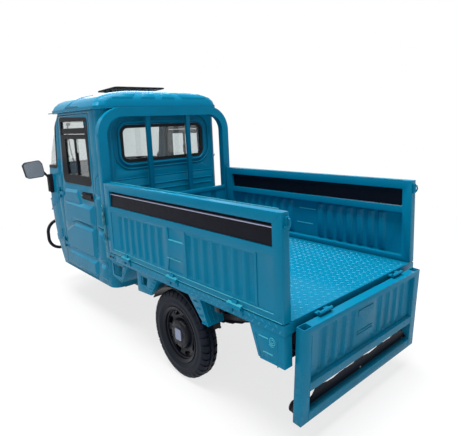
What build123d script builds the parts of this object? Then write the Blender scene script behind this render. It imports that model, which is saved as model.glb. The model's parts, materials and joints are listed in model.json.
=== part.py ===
from build123d import *
import os
from math import atan2, cos, degrees, radians, sin, sqrt

# Electric cargo tricycle: closed cab, drop-side cargo bed, one front wheel and two rear wheels.
# Millimetres. While it is built, x is 0 at the tail of the bed and grows forwards, y grows to the
# left and z is 0 on the ground. At the end everything is slid along x so that the origin lies on the
# ground under the middle of the whole vehicle.

GAP = 6.0                    # running gap between a moving panel and what is round it
SEAT = 0.3                   # clearance of a part that rests on or in another

# Wheels
TYRE_R = 280.0
TYRE_WIDTH = 112.0
RIM_R = 170.0
HUB_R = 94.0                 # round dome in the middle of a wheel
RAKE = 22.0                  # lean of the steering axis, degrees

# Cargo bed
BED_LENGTH = 1716.0
BED_HALF = 600.0
AXLE_X = BED_LENGTH * 0.539
TRACK_HALF = BED_HALF - 85
SKIRT_LOW = 608.0
SKIRT_HIGH = 659.0
FLOOR_TOP = 667.0
FLOOR_THICK = 8.0
BOARD_THICK = 49.0
BOARD_TOP = 1175.0
BOARD_LOW = 665.0
RAIL_LOW = 32.0              # height of a board's bottom rail
RAIL_MID = 40.0
RAIL_TOP = 52.0
SLOT_HEIGHT = 110.0          # open slot that holds the black strip
SHEET = 6.0                  # pressed sheet of the boards
FLUTE_DEPTH = 12.0
FLUTE_HALF = 30.0
FLUTE_FLANK = 16.0
FLUTE_END = 12.0             # slope at the two ends of a flute
POST_REAR = 58.0
POST_FRONT = 74.0

# Tailgate
GATE_HALF = BED_HALF - 58
GATE_HEIGHT = 497.0
GATE_THICK = 48.0
GATE_POST = 60.0
GATE_HANG = 4.0              # the hanging gate's lean from upright, degrees
HINGE_X = -32.0
HINGE_Z = 660.0
GATE_RISE = 16.0             # from the hinge line to the gate's lower edge
GATE_OUTER = -8.0            # from the hinge line to the closed gate's outer face

# Hinges
PIN_R = 4.5
PIN_FIT = 0.3
KNUCKLE_R = 9.5
SIDE_HINGE_OUT = 12.0        # from the board's outer face to the hinge line

# Cab
RACK_X = BED_LENGTH + GAP
RACK_DEEP = 55.0
CAB_REAR = RACK_X + RACK_DEEP + 38
CAB_HALF = BED_HALF - 60
CAB_LOW = 330.0
CAB_HIGH = 1700.0
CAB_WALL = 30.0
CAB_REAR_R = 80.0
CAB_CORNER_R = 120.0
NOSE_BACK = 300.0            # from the tip of the nose back to where the sides run straight
NOSE_CHORD = NOSE_BACK ** 2 + (CAB_HALF - CAB_CORNER_R) ** 2 - CAB_CORNER_R ** 2
CAB_NOSE_R = NOSE_CHORD / (2 * (NOSE_BACK - CAB_CORNER_R))
BELT = 1190.0                # foot of the windscreen
DOOR_REAR = CAB_REAR + 215
DOOR_FRONT = CAB_REAR + 942
FRONT_X = CAB_REAR + 1105    # middle of the front wheel
WELL_X = CAB_REAR + 750      # front end of the cab's floor
GLASS = 5.0
GLASS_SET = 10.0             # how far the glass lies behind the outer face

# Roof
ROOF_LOW = 1706.0
ROOF_OUT = 22.0
VISOR = 88.0
ROOF_WALL = 22.0
HATCH_HALF = 236.0
HATCH_LONG = 348.0
HATCH_X = CAB_REAR + 312

# Chassis
RAIL_Y = BED_HALF / 2
RAIL_WIDE = 60.0
RAIL_Z = 525.0
RAIL_HIGH = 80.0
CAB_RAIL_HIGH = 40.0


def box(x0, x1, y0, y1, z0, z1):
    size = Box(x1 - x0, y1 - y0, z1 - z0)
    return Pos((x0 + x1) / 2, (y0 + y1) / 2, (z0 + z1) / 2) * size


def outline(points):
    return make_face(Polyline(*points, close=True))


def along_y(points, y0, y1):
    """Prism of an outline in x and z that runs from y0 to y1."""
    return extrude(Plane.XZ.offset(-y1) * outline(points), amount=y1 - y0)


def along_x(points, x0, x1):
    """Prism of an outline in y and z that runs from x0 to x1."""
    return extrude(Plane.YZ.offset(x0) * outline(points), amount=x1 - x0)


def along_z(points, z0, z1):
    """Prism of an outline in x and y that runs from z0 to z1."""
    return extrude(Plane.XY.offset(z0) * outline(points), amount=z1 - z0)


def rod(start, end, radius):
    """Round bar from one point to another."""
    axis = Vector(*end) - Vector(*start)
    return extrude(Plane(origin=start, z_dir=axis) * Circle(radius), amount=axis.length)


def disc_y(x, z, radius, y0, y1):
    """Round plate or pin about a line along y."""
    return rod((x, y0, z), (x, y1, z), radius)


def other_side(shape):
    return shape.mirror(Plane.XZ)


def both_sides(shape):
    return [shape, other_side(shape)]


def fuse(first, *others):
    result = first
    for piece in others:
        result = result + piece
    return result


def from_cab(points):
    """Outline in x and z, given from the cab's rear face."""
    return [(CAB_REAR + x, z) for x, z in points]


def fluted(start, stop, crest, centres, low, high, direction=1):
    """Pressed sheet along x whose face is at y = crest, with upright flutes that are closed at both ends."""
    stations = [start]
    for centre in sorted(centres):
        stations += [centre - FLUTE_HALF, centre - FLUTE_HALF + FLUTE_FLANK,
                     centre + FLUTE_HALF - FLUTE_FLANK, centre + FLUTE_HALF]
    stations.append(stop)

    def section(height, depth):
        pattern = [0] + [0, depth, depth, 0] * len(centres) + [0]
        face = [(x, crest - step * direction) for x, step in zip(stations, pattern)]
        back = [(x, y - SHEET * direction) for x, y in reversed(face)]
        return Plane.XY.offset(height) * outline(face + back)

    end = FLUTE_END
    return loft([section(low, 0), section(low + end, 0), section(low + 2 * end, FLUTE_DEPTH),
                 section(high - 2 * end, FLUTE_DEPTH), section(high - end, 0), section(high, 0)], ruled=True)


def across(shape):
    """Turns what was made along x so that it runs along y."""
    return Rot(0, 0, 90) * shape


parts = {}


# Tyres and rims
TYRE_SIDES = 60              # facets round a tyre
TYRE_PROFILE = (             # drawn in from half the width, and down from the crown
    (12, 102), (0, 66), (1, 40), (8, 20), (20, 7), (38, 0))
BORE_DEEP = TYRE_WIDTH
LIP = 14.0
RIM_HALF = 48.0
DISC = 18.0                  # middle of the wheel's disc, from the middle plane
HUB_OUT = 46.0
HUB_IN = 30.0
BEARING_R = 52.0


def tyre(x, y):
    half = TYRE_WIDTH / 2
    side = [(half - inward, TYRE_R - down) for inward, down in TYRE_PROFILE]
    rings = [(-w, r) for w, r in side] + [(w, r) for w, r in reversed(side)]
    body = loft([Plane.XZ.offset(-w) * RegularPolygon(r, TYRE_SIDES) for w, r in rings], ruled=True)
    bore = Plane.XZ.offset(-BORE_DEEP) * RegularPolygon(RIM_R, TYRE_SIDES, major_radius=False)
    return Pos(x, y, TYRE_R) * (body - extrude(bore, amount=2 * BORE_DEEP))


def rim(x, y, out, bore):
    """Pressed steel wheel with a dished disc and a domed hub; out is the side that the dome faces."""
    seat = RIM_R - SEAT
    inner = seat - LIP
    section = outline([(r, w * out) for r, w in (
        (seat, -RIM_HALF), (seat, RIM_HALF), (inner, RIM_HALF - 4), (inner, DISC), (inner - 24, DISC + 4),
        (HUB_R + 8, DISC - 6), (HUB_R, DISC), (HUB_R - 4, HUB_OUT - 12), (HUB_R - 18, HUB_OUT),
        (bore, HUB_OUT), (bore, -HUB_IN), (BEARING_R, -HUB_IN), (BEARING_R + 8, DISC - 24), (inner, DISC - 8),
        (inner, -RIM_HALF + 4))])
    return Pos(x, y, TYRE_R) * revolve(section, Axis.Y)


STUB_R = 14.0
STUB_OUT = 40.0              # how far a stub shaft reaches past the wheel's middle plane
SHAFT_FIT = 0.08
for side, sign in (("left", 1), ("right", -1)):
    parts["rear_tyre_" + side] = tyre(AXLE_X, sign * TRACK_HALF)
    parts["rear_rim_" + side] = rim(AXLE_X, sign * TRACK_HALF, sign, STUB_R + SHAFT_FIT)


# Steering: everything here turns about the raked axis through the front wheel's centre
def on_axis(distance, y=0.0, ahead=0.0):
    """Point beside the steering axis, distance up from the wheel's centre."""
    lean = radians(RAKE)
    return (FRONT_X - distance * sin(lean) + ahead * cos(lean), y,
            TYRE_R + distance * cos(lean) + ahead * sin(lean))


LEG_Y = 92.0
LEG_R = 16.0
CROWN = 352.0
HEAD_LOW = 392.0
HEAD_HIGH = 560.0
STEM_R = 18.0
HEAD_R = 32.0
BAR_AT = 950.0
BAR_HALF = 330.0
BAR_R = 12.0
AXLE_R = 10.0

parts["front_tyre"] = tyre(FRONT_X, 0)
parts["front_rim"] = rim(FRONT_X, 0, 1, AXLE_R + SHAFT_FIT)

legs = []
for sign in (1, -1):
    legs.append(rod(on_axis(-22, sign * LEG_Y), on_axis(CROWN, sign * LEG_Y), LEG_R))
    legs.append(rod(on_axis(90, sign * LEG_Y), on_axis(300, sign * LEG_Y), LEG_R + 5))
crown_plane = Plane(origin=on_axis(CROWN), z_dir=Vector(*on_axis(1)) - Vector(*on_axis(0)), x_dir=(0, 1, 0))
crown = extrude(crown_plane * SlotOverall(2 * LEG_Y + 56, 56), amount=26)
axle = disc_y(FRONT_X, TYRE_R, AXLE_R, -LEG_Y - 24, LEG_Y + 24)
stem = rod(on_axis(CROWN + 10), on_axis(BAR_AT), STEM_R)
parts["front_fork"] = fuse(crown, stem, axle, *legs)

GUARD_R = TYRE_R + 26.0
GUARD_HALF = 68.0
guard_section = outline((
    (GUARD_R - 26, -GUARD_HALF), (GUARD_R, -GUARD_HALF + 12), (GUARD_R, GUARD_HALF - 12),
    (GUARD_R - 26, GUARD_HALF), (GUARD_R - 26, GUARD_HALF - 4), (GUARD_R - 4, GUARD_HALF - 15),
    (GUARD_R - 4, -GUARD_HALF + 15), (GUARD_R - 26, -GUARD_HALF + 4)))
mudguard = revolve(guard_section, Axis.Y, revolution_arc=134)
mudguard = Pos(FRONT_X, 0, TYRE_R) * Rot(0, -158, 0) * mudguard
stay = rod(on_axis(GUARD_R - 3), on_axis(CROWN), 14)
parts["front_mudguard"] = fuse(mudguard, stay)

grips = []
for sign in (1, -1):
    elbow = on_axis(BAR_AT + 6, sign * 120)
    hand = on_axis(BAR_AT + 40, sign * BAR_HALF, -70)
    grips.append(rod(elbow, hand, BAR_R))
    near = tuple(a + (b - a) * 0.42 for a, b in zip(elbow, hand))
    grips.append(rod(near, hand, BAR_R + 5))
    lever = on_axis(BAR_AT + 34, sign * BAR_HALF, 6)
    grips.append(rod(on_axis(BAR_AT + 17, sign * 190, -23), lever, 6))
bar = rod(on_axis(BAR_AT + 6, -124), on_axis(BAR_AT + 6, 124), BAR_R)
clamp_plane = Plane(origin=on_axis(BAR_AT - 30), z_dir=crown_plane.z_dir, x_dir=(0, 1, 0))
clamp = extrude(clamp_plane * RectangleRounded(110, 60, 14), amount=50)
parts["handlebar"] = fuse(bar, clamp, *grips) - rod(on_axis(BAR_AT - 40), on_axis(BAR_AT + SEAT), STEM_R)


# Chassis
PLATE = 8.0                  # pressed brackets under the bed
BRACKET_Y = BED_HALF - 12
head = rod(on_axis(HEAD_LOW), on_axis(HEAD_HIGH), HEAD_R)
head -= rod(on_axis(HEAD_LOW - 5), on_axis(HEAD_HIGH + 5), STEM_R + SHAFT_FIT)
rails = []
RAIL_TOP_Z = RAIL_Z + RAIL_HIGH
DROP_X = BED_LENGTH + 9
for sign in (1, -1):
    inner = sign * (RAIL_Y - RAIL_WIDE / 2)
    outer = sign * (RAIL_Y + RAIL_WIDE / 2)
    low, high = min(inner, outer), max(inner, outer)
    rails.append(box(40, DROP_X + 60, low, high, RAIL_Z, RAIL_TOP_Z))
    rails.append(box(DROP_X, DROP_X + 60, low, high, CAB_LOW - CAB_RAIL_HIGH, RAIL_Z))
    rails.append(box(DROP_X, WELL_X + 46, low, high, CAB_LOW - CAB_RAIL_HIGH, CAB_LOW))
for x in (40, AXLE_X - 405, AXLE_X, AXLE_X + 395, DROP_X):
    rails.append(box(x, x + 50, -RAIL_Y, RAIL_Y, RAIL_Z + 25, RAIL_TOP_Z))
for x in (DROP_X, (DROP_X + WELL_X) / 2, WELL_X - 14):
    rails.append(box(x, x + 60, -RAIL_Y, RAIL_Y, CAB_LOW - CAB_RAIL_HIGH, CAB_LOW))
OUTRIGGERS = (60, AXLE_X - 445, AXLE_X + 265, BED_LENGTH - 96)
for x in OUTRIGGERS:
    for sign in (1, -1):
        low, high = sorted((sign * RAIL_Y, sign * (BRACKET_Y - PLATE)))
        rails.append(box(x, x + 40, low, high, RAIL_TOP_Z - 40, RAIL_TOP_Z))
NECK_HIGH = 700.0
neck_low = on_axis(HEAD_LOW + 40)
neck_high = on_axis(HEAD_HIGH - 40)
neck = along_y(((WELL_X + 16, CAB_LOW - 2), (WELL_X + 40, CAB_LOW - 2), (WELL_X + 40, 400),
                (WELL_X + 60, 450), (WELL_X + 125, 560), (neck_low[0], neck_low[2]), (neck_high[0], neck_high[2]),
                (WELL_X + 40, NECK_HIGH), (WELL_X + 16, NECK_HIGH - 100)), -28, 28)
neck -= rod(on_axis(HEAD_LOW - 60), on_axis(HEAD_HIGH + 60), HEAD_R)
parts["chassis_frame"] = fuse(rails[0], *rails[1:], neck, head)

# Rear axle, motor block and springs
AXLE_TUBE_R = 32.0
tube = disc_y(AXLE_X, TYRE_R, AXLE_TUBE_R, -TRACK_HALF + 62, TRACK_HALF - 62)
diff = Pos(AXLE_X, 0, TYRE_R) * Rot(90, 0, 0) * fuse(
    Cylinder(92, 150), Cylinder(70, 200))
motor = rod((AXLE_X + 40, 0, TYRE_R), (AXLE_X + 290, 0, TYRE_R + 26), 78)
pads = []
for sign in (1, -1):
    pads.append(disc_y(AXLE_X, TYRE_R, 60, *sorted((sign * 430, sign * 453))))
    pads.append(disc_y(AXLE_X, TYRE_R, STUB_R, *sorted((sign * 440, sign * (TRACK_HALF + STUB_OUT)))))
    pads.append(box(AXLE_X - 48, AXLE_X + 48, sign * RAIL_Y - 36, sign * RAIL_Y + 36,
                    TYRE_R - 44, TYRE_R + AXLE_TUBE_R + 4))
parts["rear_axle"] = fuse(tube, diff, motor, *pads)

SPRING_LEAVES = ((470, 0), (340, 1), (250, 2), (160, 3))     # half length, place below the top leaf
LEAF = 8.0
HANGER = 8.0
HANGER_UP = 22.0             # how far a hanger laps the rail
SPRING_BASE = TYRE_R + AXLE_TUBE_R + 4 + SEAT
SPRING_RISE = 96.0
springs = []
for sign in (1, -1):
    base = SPRING_BASE + LEAF * len(SPRING_LEAVES)
    curve_r = (SPRING_LEAVES[0][0] ** 2 + SPRING_RISE ** 2) / (2 * SPRING_RISE)
    leaves = []
    for half_length, place in SPRING_LEAVES:
        outer = curve_r + LEAF * (place + 1)
        inner = curve_r + LEAF * place
        turn = degrees(half_length / curve_r)
        ring = Circle(outer) - Circle(inner)
        wedge = outline(((0, 0), (-2 * outer * sin(radians(turn)), -2 * outer * cos(radians(turn))),
                         (2 * outer * sin(radians(turn)), -2 * outer * cos(radians(turn)))))
        leaf = extrude(Plane.XZ.offset(-30) * (ring & wedge), amount=60)
        leaves.append(Pos(AXLE_X, sign * RAIL_Y, base + curve_r) * leaf)
    turn = SPRING_LEAVES[0][0] / curve_r
    for end in (1, -1):
        x = AXLE_X + end * (curve_r * sin(turn) + 6)
        z = base + curve_r * (1 - cos(turn)) + 8
        leaves.append(disc_y(x, z, 14, sign * RAIL_Y - RAIL_WIDE / 2 - 1, sign * RAIL_Y + RAIL_WIDE / 2 + 1))
        for face in (1, -1):
            low, high = sorted((face * (RAIL_WIDE / 2 + SEAT), face * (RAIL_WIDE / 2 + SEAT + HANGER)))
            leaves.append(along_y(((x - 18, z - 16), (x + 18, z - 16), (x + 22, RAIL_Z + HANGER_UP),
                                   (x - 22, RAIL_Z + HANGER_UP)), sign * RAIL_Y + low, sign * RAIL_Y + high))
    springs.append(fuse(leaves[0], *leaves[1:]))
parts["leaf_springs"] = Compound(springs)

# Black guards over the rear wheels
WHEEL_GUARD_R = TYRE_R + 22.0
guard_arc = outline((
    (WHEEL_GUARD_R, -66), (WHEEL_GUARD_R + 4, -66), (WHEEL_GUARD_R + 4, 62), (WHEEL_GUARD_R, 62)))
wheel_guards = []
for sign in (1, -1):
    arc = Rot(0, -148, 0) * revolve(guard_arc, Axis.Y, revolution_arc=112)
    arc = Pos(AXLE_X, sign * TRACK_HALF, TYRE_R) * (arc if sign > 0 else other_side(arc))
    low, high = sorted((sign * (RAIL_Y + RAIL_WIDE / 2 + SEAT), sign * (TRACK_HALF - 40)))
    arm = box(AXLE_X - 20, AXLE_X + 20, low, high, TYRE_R + WHEEL_GUARD_R + 0.5, TYRE_R + WHEEL_GUARD_R + 6)
    wheel_guards.append(fuse(arc, arm))
parts["wheel_guards"] = Compound(wheel_guards)


# Cargo bed
def hinge_y(y0, y1):
    """Hinge along y about the tailgate's hinge line: pin with end knuckles, and the middle knuckle."""
    third = (y1 - y0) / 3
    fixed = fuse(
        disc_y(HINGE_X, HINGE_Z, PIN_R, y0, y1),
        disc_y(HINGE_X, HINGE_Z, KNUCKLE_R, y0, y0 + third - 1),
        disc_y(HINGE_X, HINGE_Z, KNUCKLE_R, y1 - third + 1, y1),
        box(HINGE_X, 0, y0, y0 + third - 1, HINGE_Z - KNUCKLE_R, HINGE_Z - 2),
        box(HINGE_X, 0, y1 - third + 1, y1, HINGE_Z - KNUCKLE_R, HINGE_Z - 2))
    moving = disc_y(HINGE_X, HINGE_Z, KNUCKLE_R, y0 + third, y1 - third)
    moving += box(HINGE_X - KNUCKLE_R, HINGE_X - 2, y0 + third, y1 - third, HINGE_Z, HINGE_Z + GATE_RISE + 4)
    moving -= disc_y(HINGE_X, HINGE_Z, PIN_R + PIN_FIT, y0, y1)
    return fixed, moving


GATE_HINGE_Y = GATE_HALF * 0.627
GATE_HINGES = ((-GATE_HINGE_Y - 50, -GATE_HINGE_Y + 50), (GATE_HINGE_Y - 50, GATE_HINGE_Y + 50))
SIDE_HINGES = tuple((BED_LENGTH * share - 58, BED_LENGTH * share + 58) for share in (0.189, 0.517, 0.847))
SIDE_HINGE_Y = BED_HALF + SIDE_HINGE_OUT


def hinge_x(x0, x1):
    """Hinge along x on the left skirt, with its two leaves on the outer faces."""
    third = (x1 - x0) / 3
    line = [(x0, x0 + third - 1), (x1 - third + 1, x1)]
    fixed = rod((x0, SIDE_HINGE_Y, HINGE_Z), (x1, SIDE_HINGE_Y, HINGE_Z), PIN_R)
    for low, high in line:
        fixed += rod((low, SIDE_HINGE_Y, HINGE_Z), (high, SIDE_HINGE_Y, HINGE_Z), KNUCKLE_R)
        fixed += box(low, high, BED_HALF, SIDE_HINGE_Y - 4, HINGE_Z - 34, HINGE_Z - 2)
    moving = rod((x0 + third, SIDE_HINGE_Y, HINGE_Z), (x1 - third, SIDE_HINGE_Y, HINGE_Z), KNUCKLE_R)
    moving += box(x0 + third, x1 - third, BED_HALF - 1, SIDE_HINGE_Y - 4, BOARD_LOW, HINGE_Z + 34)
    moving += box(x0 + third, x1 - third, BED_HALF, SIDE_HINGE_Y - 1, HINGE_Z, BOARD_LOW)
    moving -= rod((x0, SIDE_HINGE_Y, HINGE_Z), (x1, SIDE_HINGE_Y, HINGE_Z), PIN_R + PIN_FIT)
    return fixed, moving


SKIRT_THICK = 30.0
bed = box(0, BED_LENGTH + 6, -BED_HALF, BED_HALF, SKIRT_LOW, SKIRT_HIGH)
bed -= box(SKIRT_THICK, BED_LENGTH - 30, -BED_HALF + SKIRT_THICK, BED_HALF - SKIRT_THICK,
           SKIRT_LOW - 1, FLOOR_TOP - FLOOR_THICK)
bed += box(0, BED_LENGTH + 6, -BED_HALF + BOARD_THICK + GAP, BED_HALF - BOARD_THICK - GAP,
           FLOOR_TOP - FLOOR_THICK, FLOOR_TOP)
gate_knuckles = []
for low, high in GATE_HINGES:
    fixed, moving = hinge_y(low, high)
    bed += fixed
    gate_knuckles.append(moving)
side_knuckles = []
for low, high in SIDE_HINGES:
    fixed, moving = hinge_x(low, high)
    bed += fixed
    bed += other_side(fixed)
    side_knuckles.append(moving)
parts["bed_floor"] = bed

# Drop sides: rails and posts round a ribbed sheet, with a slot under the top rail
FLUTE_ROWS = ((0.5810, 0.0497), (0.4126, -0.0480))     # first flute and pitch, as shares of the bed's length
FLUTE_COUNT = 7
PANEL_X = BED_LENGTH * 0.488                           # middle of the plain panel between the two rows
POCKETS = (
    ((73, 973), (70, 896), (-72, 896), (-85, 973)),
    ((70, 795), (-66, 795), (-60, 712), (92, 712)))
slot_low = BOARD_TOP - RAIL_TOP - SLOT_HEIGHT
slot_high = BOARD_TOP - RAIL_TOP
sheet_low = BOARD_LOW + RAIL_LOW
sheet_high = slot_low - RAIL_MID
outer_y = BED_HALF
inner_y = BED_HALF - BOARD_THICK
frame_bars = fuse(
    box(0, BED_LENGTH, inner_y, outer_y, BOARD_LOW, sheet_low),
    box(0, BED_LENGTH, inner_y, outer_y, sheet_high, slot_low),
    box(0, BED_LENGTH, inner_y, outer_y, slot_high, BOARD_TOP),
    box(0, POST_REAR, inner_y, outer_y, BOARD_LOW, BOARD_TOP),
    box(BED_LENGTH - POST_FRONT, BED_LENGTH, inner_y, outer_y, BOARD_LOW, BOARD_TOP))
flutes = [BED_LENGTH * (first + pitch * i) for first, pitch in FLUTE_ROWS for i in range(FLUTE_COUNT)]
sheet = fluted(POST_REAR - 2, BED_LENGTH - POST_FRONT + 2, outer_y - 4, flutes, sheet_low - 1, sheet_high + 1)
sheet += box(PANEL_X - 104, PANEL_X + 106, outer_y - 6, outer_y - 1, sheet_low - 1, sheet_high + 1)
for pocket in POCKETS:
    sunk = along_y([(PANEL_X + x, z) for x, z in pocket], outer_y - 7, outer_y + 5)
    sheet -= sunk
hook = fuse(
    box(-14, 8, BED_HALF - 34, BED_HALF - 24, slot_low + 92, slot_low + 140),
    box(-14, -6, BED_HALF - 34, BED_HALF - 10, slot_low + 92, slot_low + 104))
side_board = fuse(frame_bars, sheet, hook, *side_knuckles)
parts["side_board_left"] = side_board
parts["side_board_right"] = other_side(side_board)

STRIP_LEAN = 12.0
strip_mid = (inner_y + outer_y) / 2 + 4
strip = along_x(((strip_mid, slot_low), (strip_mid + 9, slot_low),
                 (strip_mid + 9 - STRIP_LEAN, slot_high - 10),
                 (strip_mid + 16 - STRIP_LEAN, slot_high - 8), (strip_mid + 16 - STRIP_LEAN, slot_high - 5),
                 (strip_mid - STRIP_LEAN, slot_high - 5)), POST_REAR, BED_LENGTH - POST_FRONT)
parts["side_strip_left"] = strip
parts["side_strip_right"] = other_side(strip)

# Tailgate: built closed and upright, then hung down about its hinge line
GATE_SET = 24.0              # how far the gate's sheet lies behind its inner face
gate_flutes = [sign * GATE_HALF * (0.24 + 0.151 * i) for sign in (1, -1) for i in range(4)]
gate_low = HINGE_Z + GATE_RISE
gate_top = gate_low + GATE_HEIGHT
gate_outer = HINGE_X + GATE_OUTER
gate_inner = gate_outer + GATE_THICK
gate_slot_low = gate_top - RAIL_TOP - SLOT_HEIGHT
gate_slot_high = gate_top - RAIL_TOP
gate_posts = []
for sign in (1, -1):
    low, high = sorted((sign * GATE_HALF, sign * (GATE_HALF - GATE_POST)))
    post = box(gate_outer, gate_inner, low, high, gate_low, gate_top)
    post -= box(gate_outer + 4, gate_inner - 4, low + 4, high - 4, gate_low - 1, gate_low + 60)
    gate_posts.append(post)
gate_span = GATE_HALF - GATE_POST
gate_rails = fuse(
    box(gate_outer, gate_inner, -gate_span, gate_span, gate_low, gate_low + RAIL_LOW),
    box(gate_outer, gate_inner, -gate_span, gate_span, gate_slot_low - RAIL_MID, gate_slot_low),
    box(gate_outer, gate_inner, -gate_span, gate_span, gate_slot_high, gate_top))
gate_sheet = across(fluted(-gate_span - 2, gate_span + 2, GATE_SET - gate_inner, gate_flutes,
                           gate_low + RAIL_LOW - 2, gate_slot_low - RAIL_MID + 2, -1))
gate = fuse(gate_rails, gate_sheet, *gate_posts, *gate_knuckles)
strip_x = (gate_outer + gate_inner) / 2
STRIP_CUT = 64.0             # how far the strip's free edge stops short of each end
gate_strip = along_y(((strip_x + 6, gate_slot_low + 22), (strip_x - 2, gate_slot_low + 22),
                      (strip_x - 14, gate_slot_high), (strip_x - 6, gate_slot_high)), -gate_span, gate_span)
for sign in (1, -1):
    end = sign * (gate_span + 1)
    gate_strip -= along_x(((end, gate_slot_high - 18), (end, gate_slot_low),
                           (sign * (gate_span - STRIP_CUT), gate_slot_low)), strip_x - 50, strip_x + 50)
buffers = []
for sign in (1, -1):
    y = sign * (GATE_HALF - 30)
    buffers.append(rod((gate_outer, y, gate_top - 60), (gate_outer - 30, y, gate_top - 60), 30))


def hung(shape):
    turn = Pos(HINGE_X, 0, HINGE_Z) * Rot(0, 180 - GATE_HANG, 0) * Pos(-HINGE_X, 0, -HINGE_Z)
    return turn * shape


parts["tailgate"] = hung(gate)
parts["tailgate_strip"] = hung(gate_strip)
parts["tailgate_buffers"] = Compound([hung(piece) for piece in buffers])

# Front wall of the bed, and the bent rack in front of it
RACK_TOP = 1705.0
RACK_TUBE = 66.0
RACK_BEND = 200.0
BAR_Y = BED_HALF * 0.3067
BAR_WIDE = 36.0
WALL_TOP = 1021.0
rack_outer = outline(((-BED_HALF, SKIRT_LOW), (BED_HALF, SKIRT_LOW),
                      (BED_HALF, RACK_TOP), (-BED_HALF, RACK_TOP)))
rack_outer = fillet(rack_outer.vertices().sort_by(Axis.Y)[-2:], RACK_BEND)
rack_in = BED_HALF - RACK_TUBE
rack_inner = outline(((-rack_in, SKIRT_LOW - 10), (rack_in, SKIRT_LOW - 10),
                      (rack_in, RACK_TOP - RACK_TUBE), (-rack_in, RACK_TOP - RACK_TUBE)))
rack_inner = fillet(rack_inner.vertices().sort_by(Axis.Y)[-2:], RACK_BEND - RACK_TUBE)
rack = extrude(Plane.YZ.offset(RACK_X) * (rack_outer - rack_inner), amount=RACK_DEEP)
for sign in (1, -1):
    rack += box(RACK_X + 14, RACK_X + 36, sign * BAR_Y - BAR_WIDE / 2, sign * BAR_Y + BAR_WIDE / 2,
                WALL_TOP, RACK_TOP - RACK_TUBE + 5)
parts["headache_rack"] = rack

wall_half = BED_HALF - RACK_TUBE - SEAT
wall_flutes = [sign * wall_half * share for sign in (1, -1) for share in (0.1536, 0.4572, 0.7645)]
front_wall = across(fluted(-wall_half, wall_half, -RACK_X - 6, wall_flutes, FLOOR_TOP - FLOOR_THICK,
                           WALL_TOP - 30))
front_wall += box(RACK_X, RACK_X + 36, -wall_half, wall_half, WALL_TOP - 32, WALL_TOP)
front_wall += box(RACK_X + SEAT, RACK_X + 36, -wall_half, wall_half, SKIRT_LOW + 10, FLOOR_TOP + 10)
parts["front_board"] = front_wall

# Spring latches that lock the drop sides to the rack's posts
latches = []
for sign in (1, -1):
    y = sign * (BED_HALF + 9)
    wall_y = sign * BED_HALF
    x = RACK_X + 26
    latch = rod((x, y, 740), (x, y, 985), 5)
    for z in (752, 860, 972):
        latch += box(x - 12, x + 12, *sorted((wall_y, y + sign * 8)), z, z + 10)
    latch += rod((x, y, 866), (x, y, 960), 9)
    latches.append(latch)
parts["latch_rods"] = Compound(latches)

# Pressed brackets under the bed: an outer plate along the skirt and a return that runs inwards.
# Points are x from the rear axle or from the front of the bed, and z.
RETURN_DEEP = 118.0
BRACKETS = (
    (AXLE_X, ((-165, SKIRT_LOW), (-282, SKIRT_LOW), (-349, 457), (-300, 466)), ()),
    (BED_LENGTH, ((5, SKIRT_LOW), (4, 483), (-131, 457), (-247, SKIRT_LOW)),
     ((-8, 580), (-17, 496), (-131, 496), (-160, 580))),
    (AXLE_X, ((423, SKIRT_LOW), (425, 461), (256, 472), (155, SKIRT_LOW)),
     ((369, 580), (370, 522), (304, 522), (286, 580))))
brackets = []
for base, plate, hole in BRACKETS:
    plate = [(base + x, z) for x, z in plate]
    shape = along_y(plate, BRACKET_Y - PLATE, BRACKET_Y)
    if hole:
        shape -= along_y([(base + x, z) for x, z in hole], BRACKET_Y - PLATE - 1, BRACKET_Y + 1)
    top = plate[3] if hole else plate[1]
    foot = plate[2]
    shape += along_y((top, foot, (foot[0] + PLATE, foot[1]), (top[0] + PLATE, top[1])),
                     BRACKET_Y - RETURN_DEEP, BRACKET_Y)
    brackets += both_sides(shape)
parts["bed_brackets"] = Compound(brackets)

CORNER_Y = BED_HALF - 55
corner_plate = ((2, 608), (228, 608), (173, 450), (20, 445), (2, 445))
corners = []
for sign in (1, -1):
    shell = along_y(corner_plate, *sorted((sign * CORNER_Y, sign * (BED_HALF - 2))))
    hollow = along_y(((12, 620), (212, 620), (165, 456), (12, 456)),
                     *sorted((sign * (CORNER_Y - 2), sign * (BED_HALF - 8))))
    corners.append(shell - hollow)
parts["corner_brackets"] = Compound(corners)

lamps = []
for sign in (1, -1):
    low, high = sorted((sign * (CORNER_Y - 70), sign * (CORNER_Y - SEAT)))
    lamps.append(box(20, 50, low, high, 480, SKIRT_LOW - SEAT))
parts["tail_lamps"] = Compound(lamps)


# Cab shell: the same outline at several heights, with the nose reaching further at the belt
CAB_SECTIONS = (           # height, reach of the nose from the rear face, on the centre line
    (CAB_LOW, 1310), (520, 1417), (700, 1465), (900, 1489), (1100, 1475), (1234, 1441), (1360, 1383),
    (1500, 1289), (CAB_HIGH, 1090))


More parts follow.
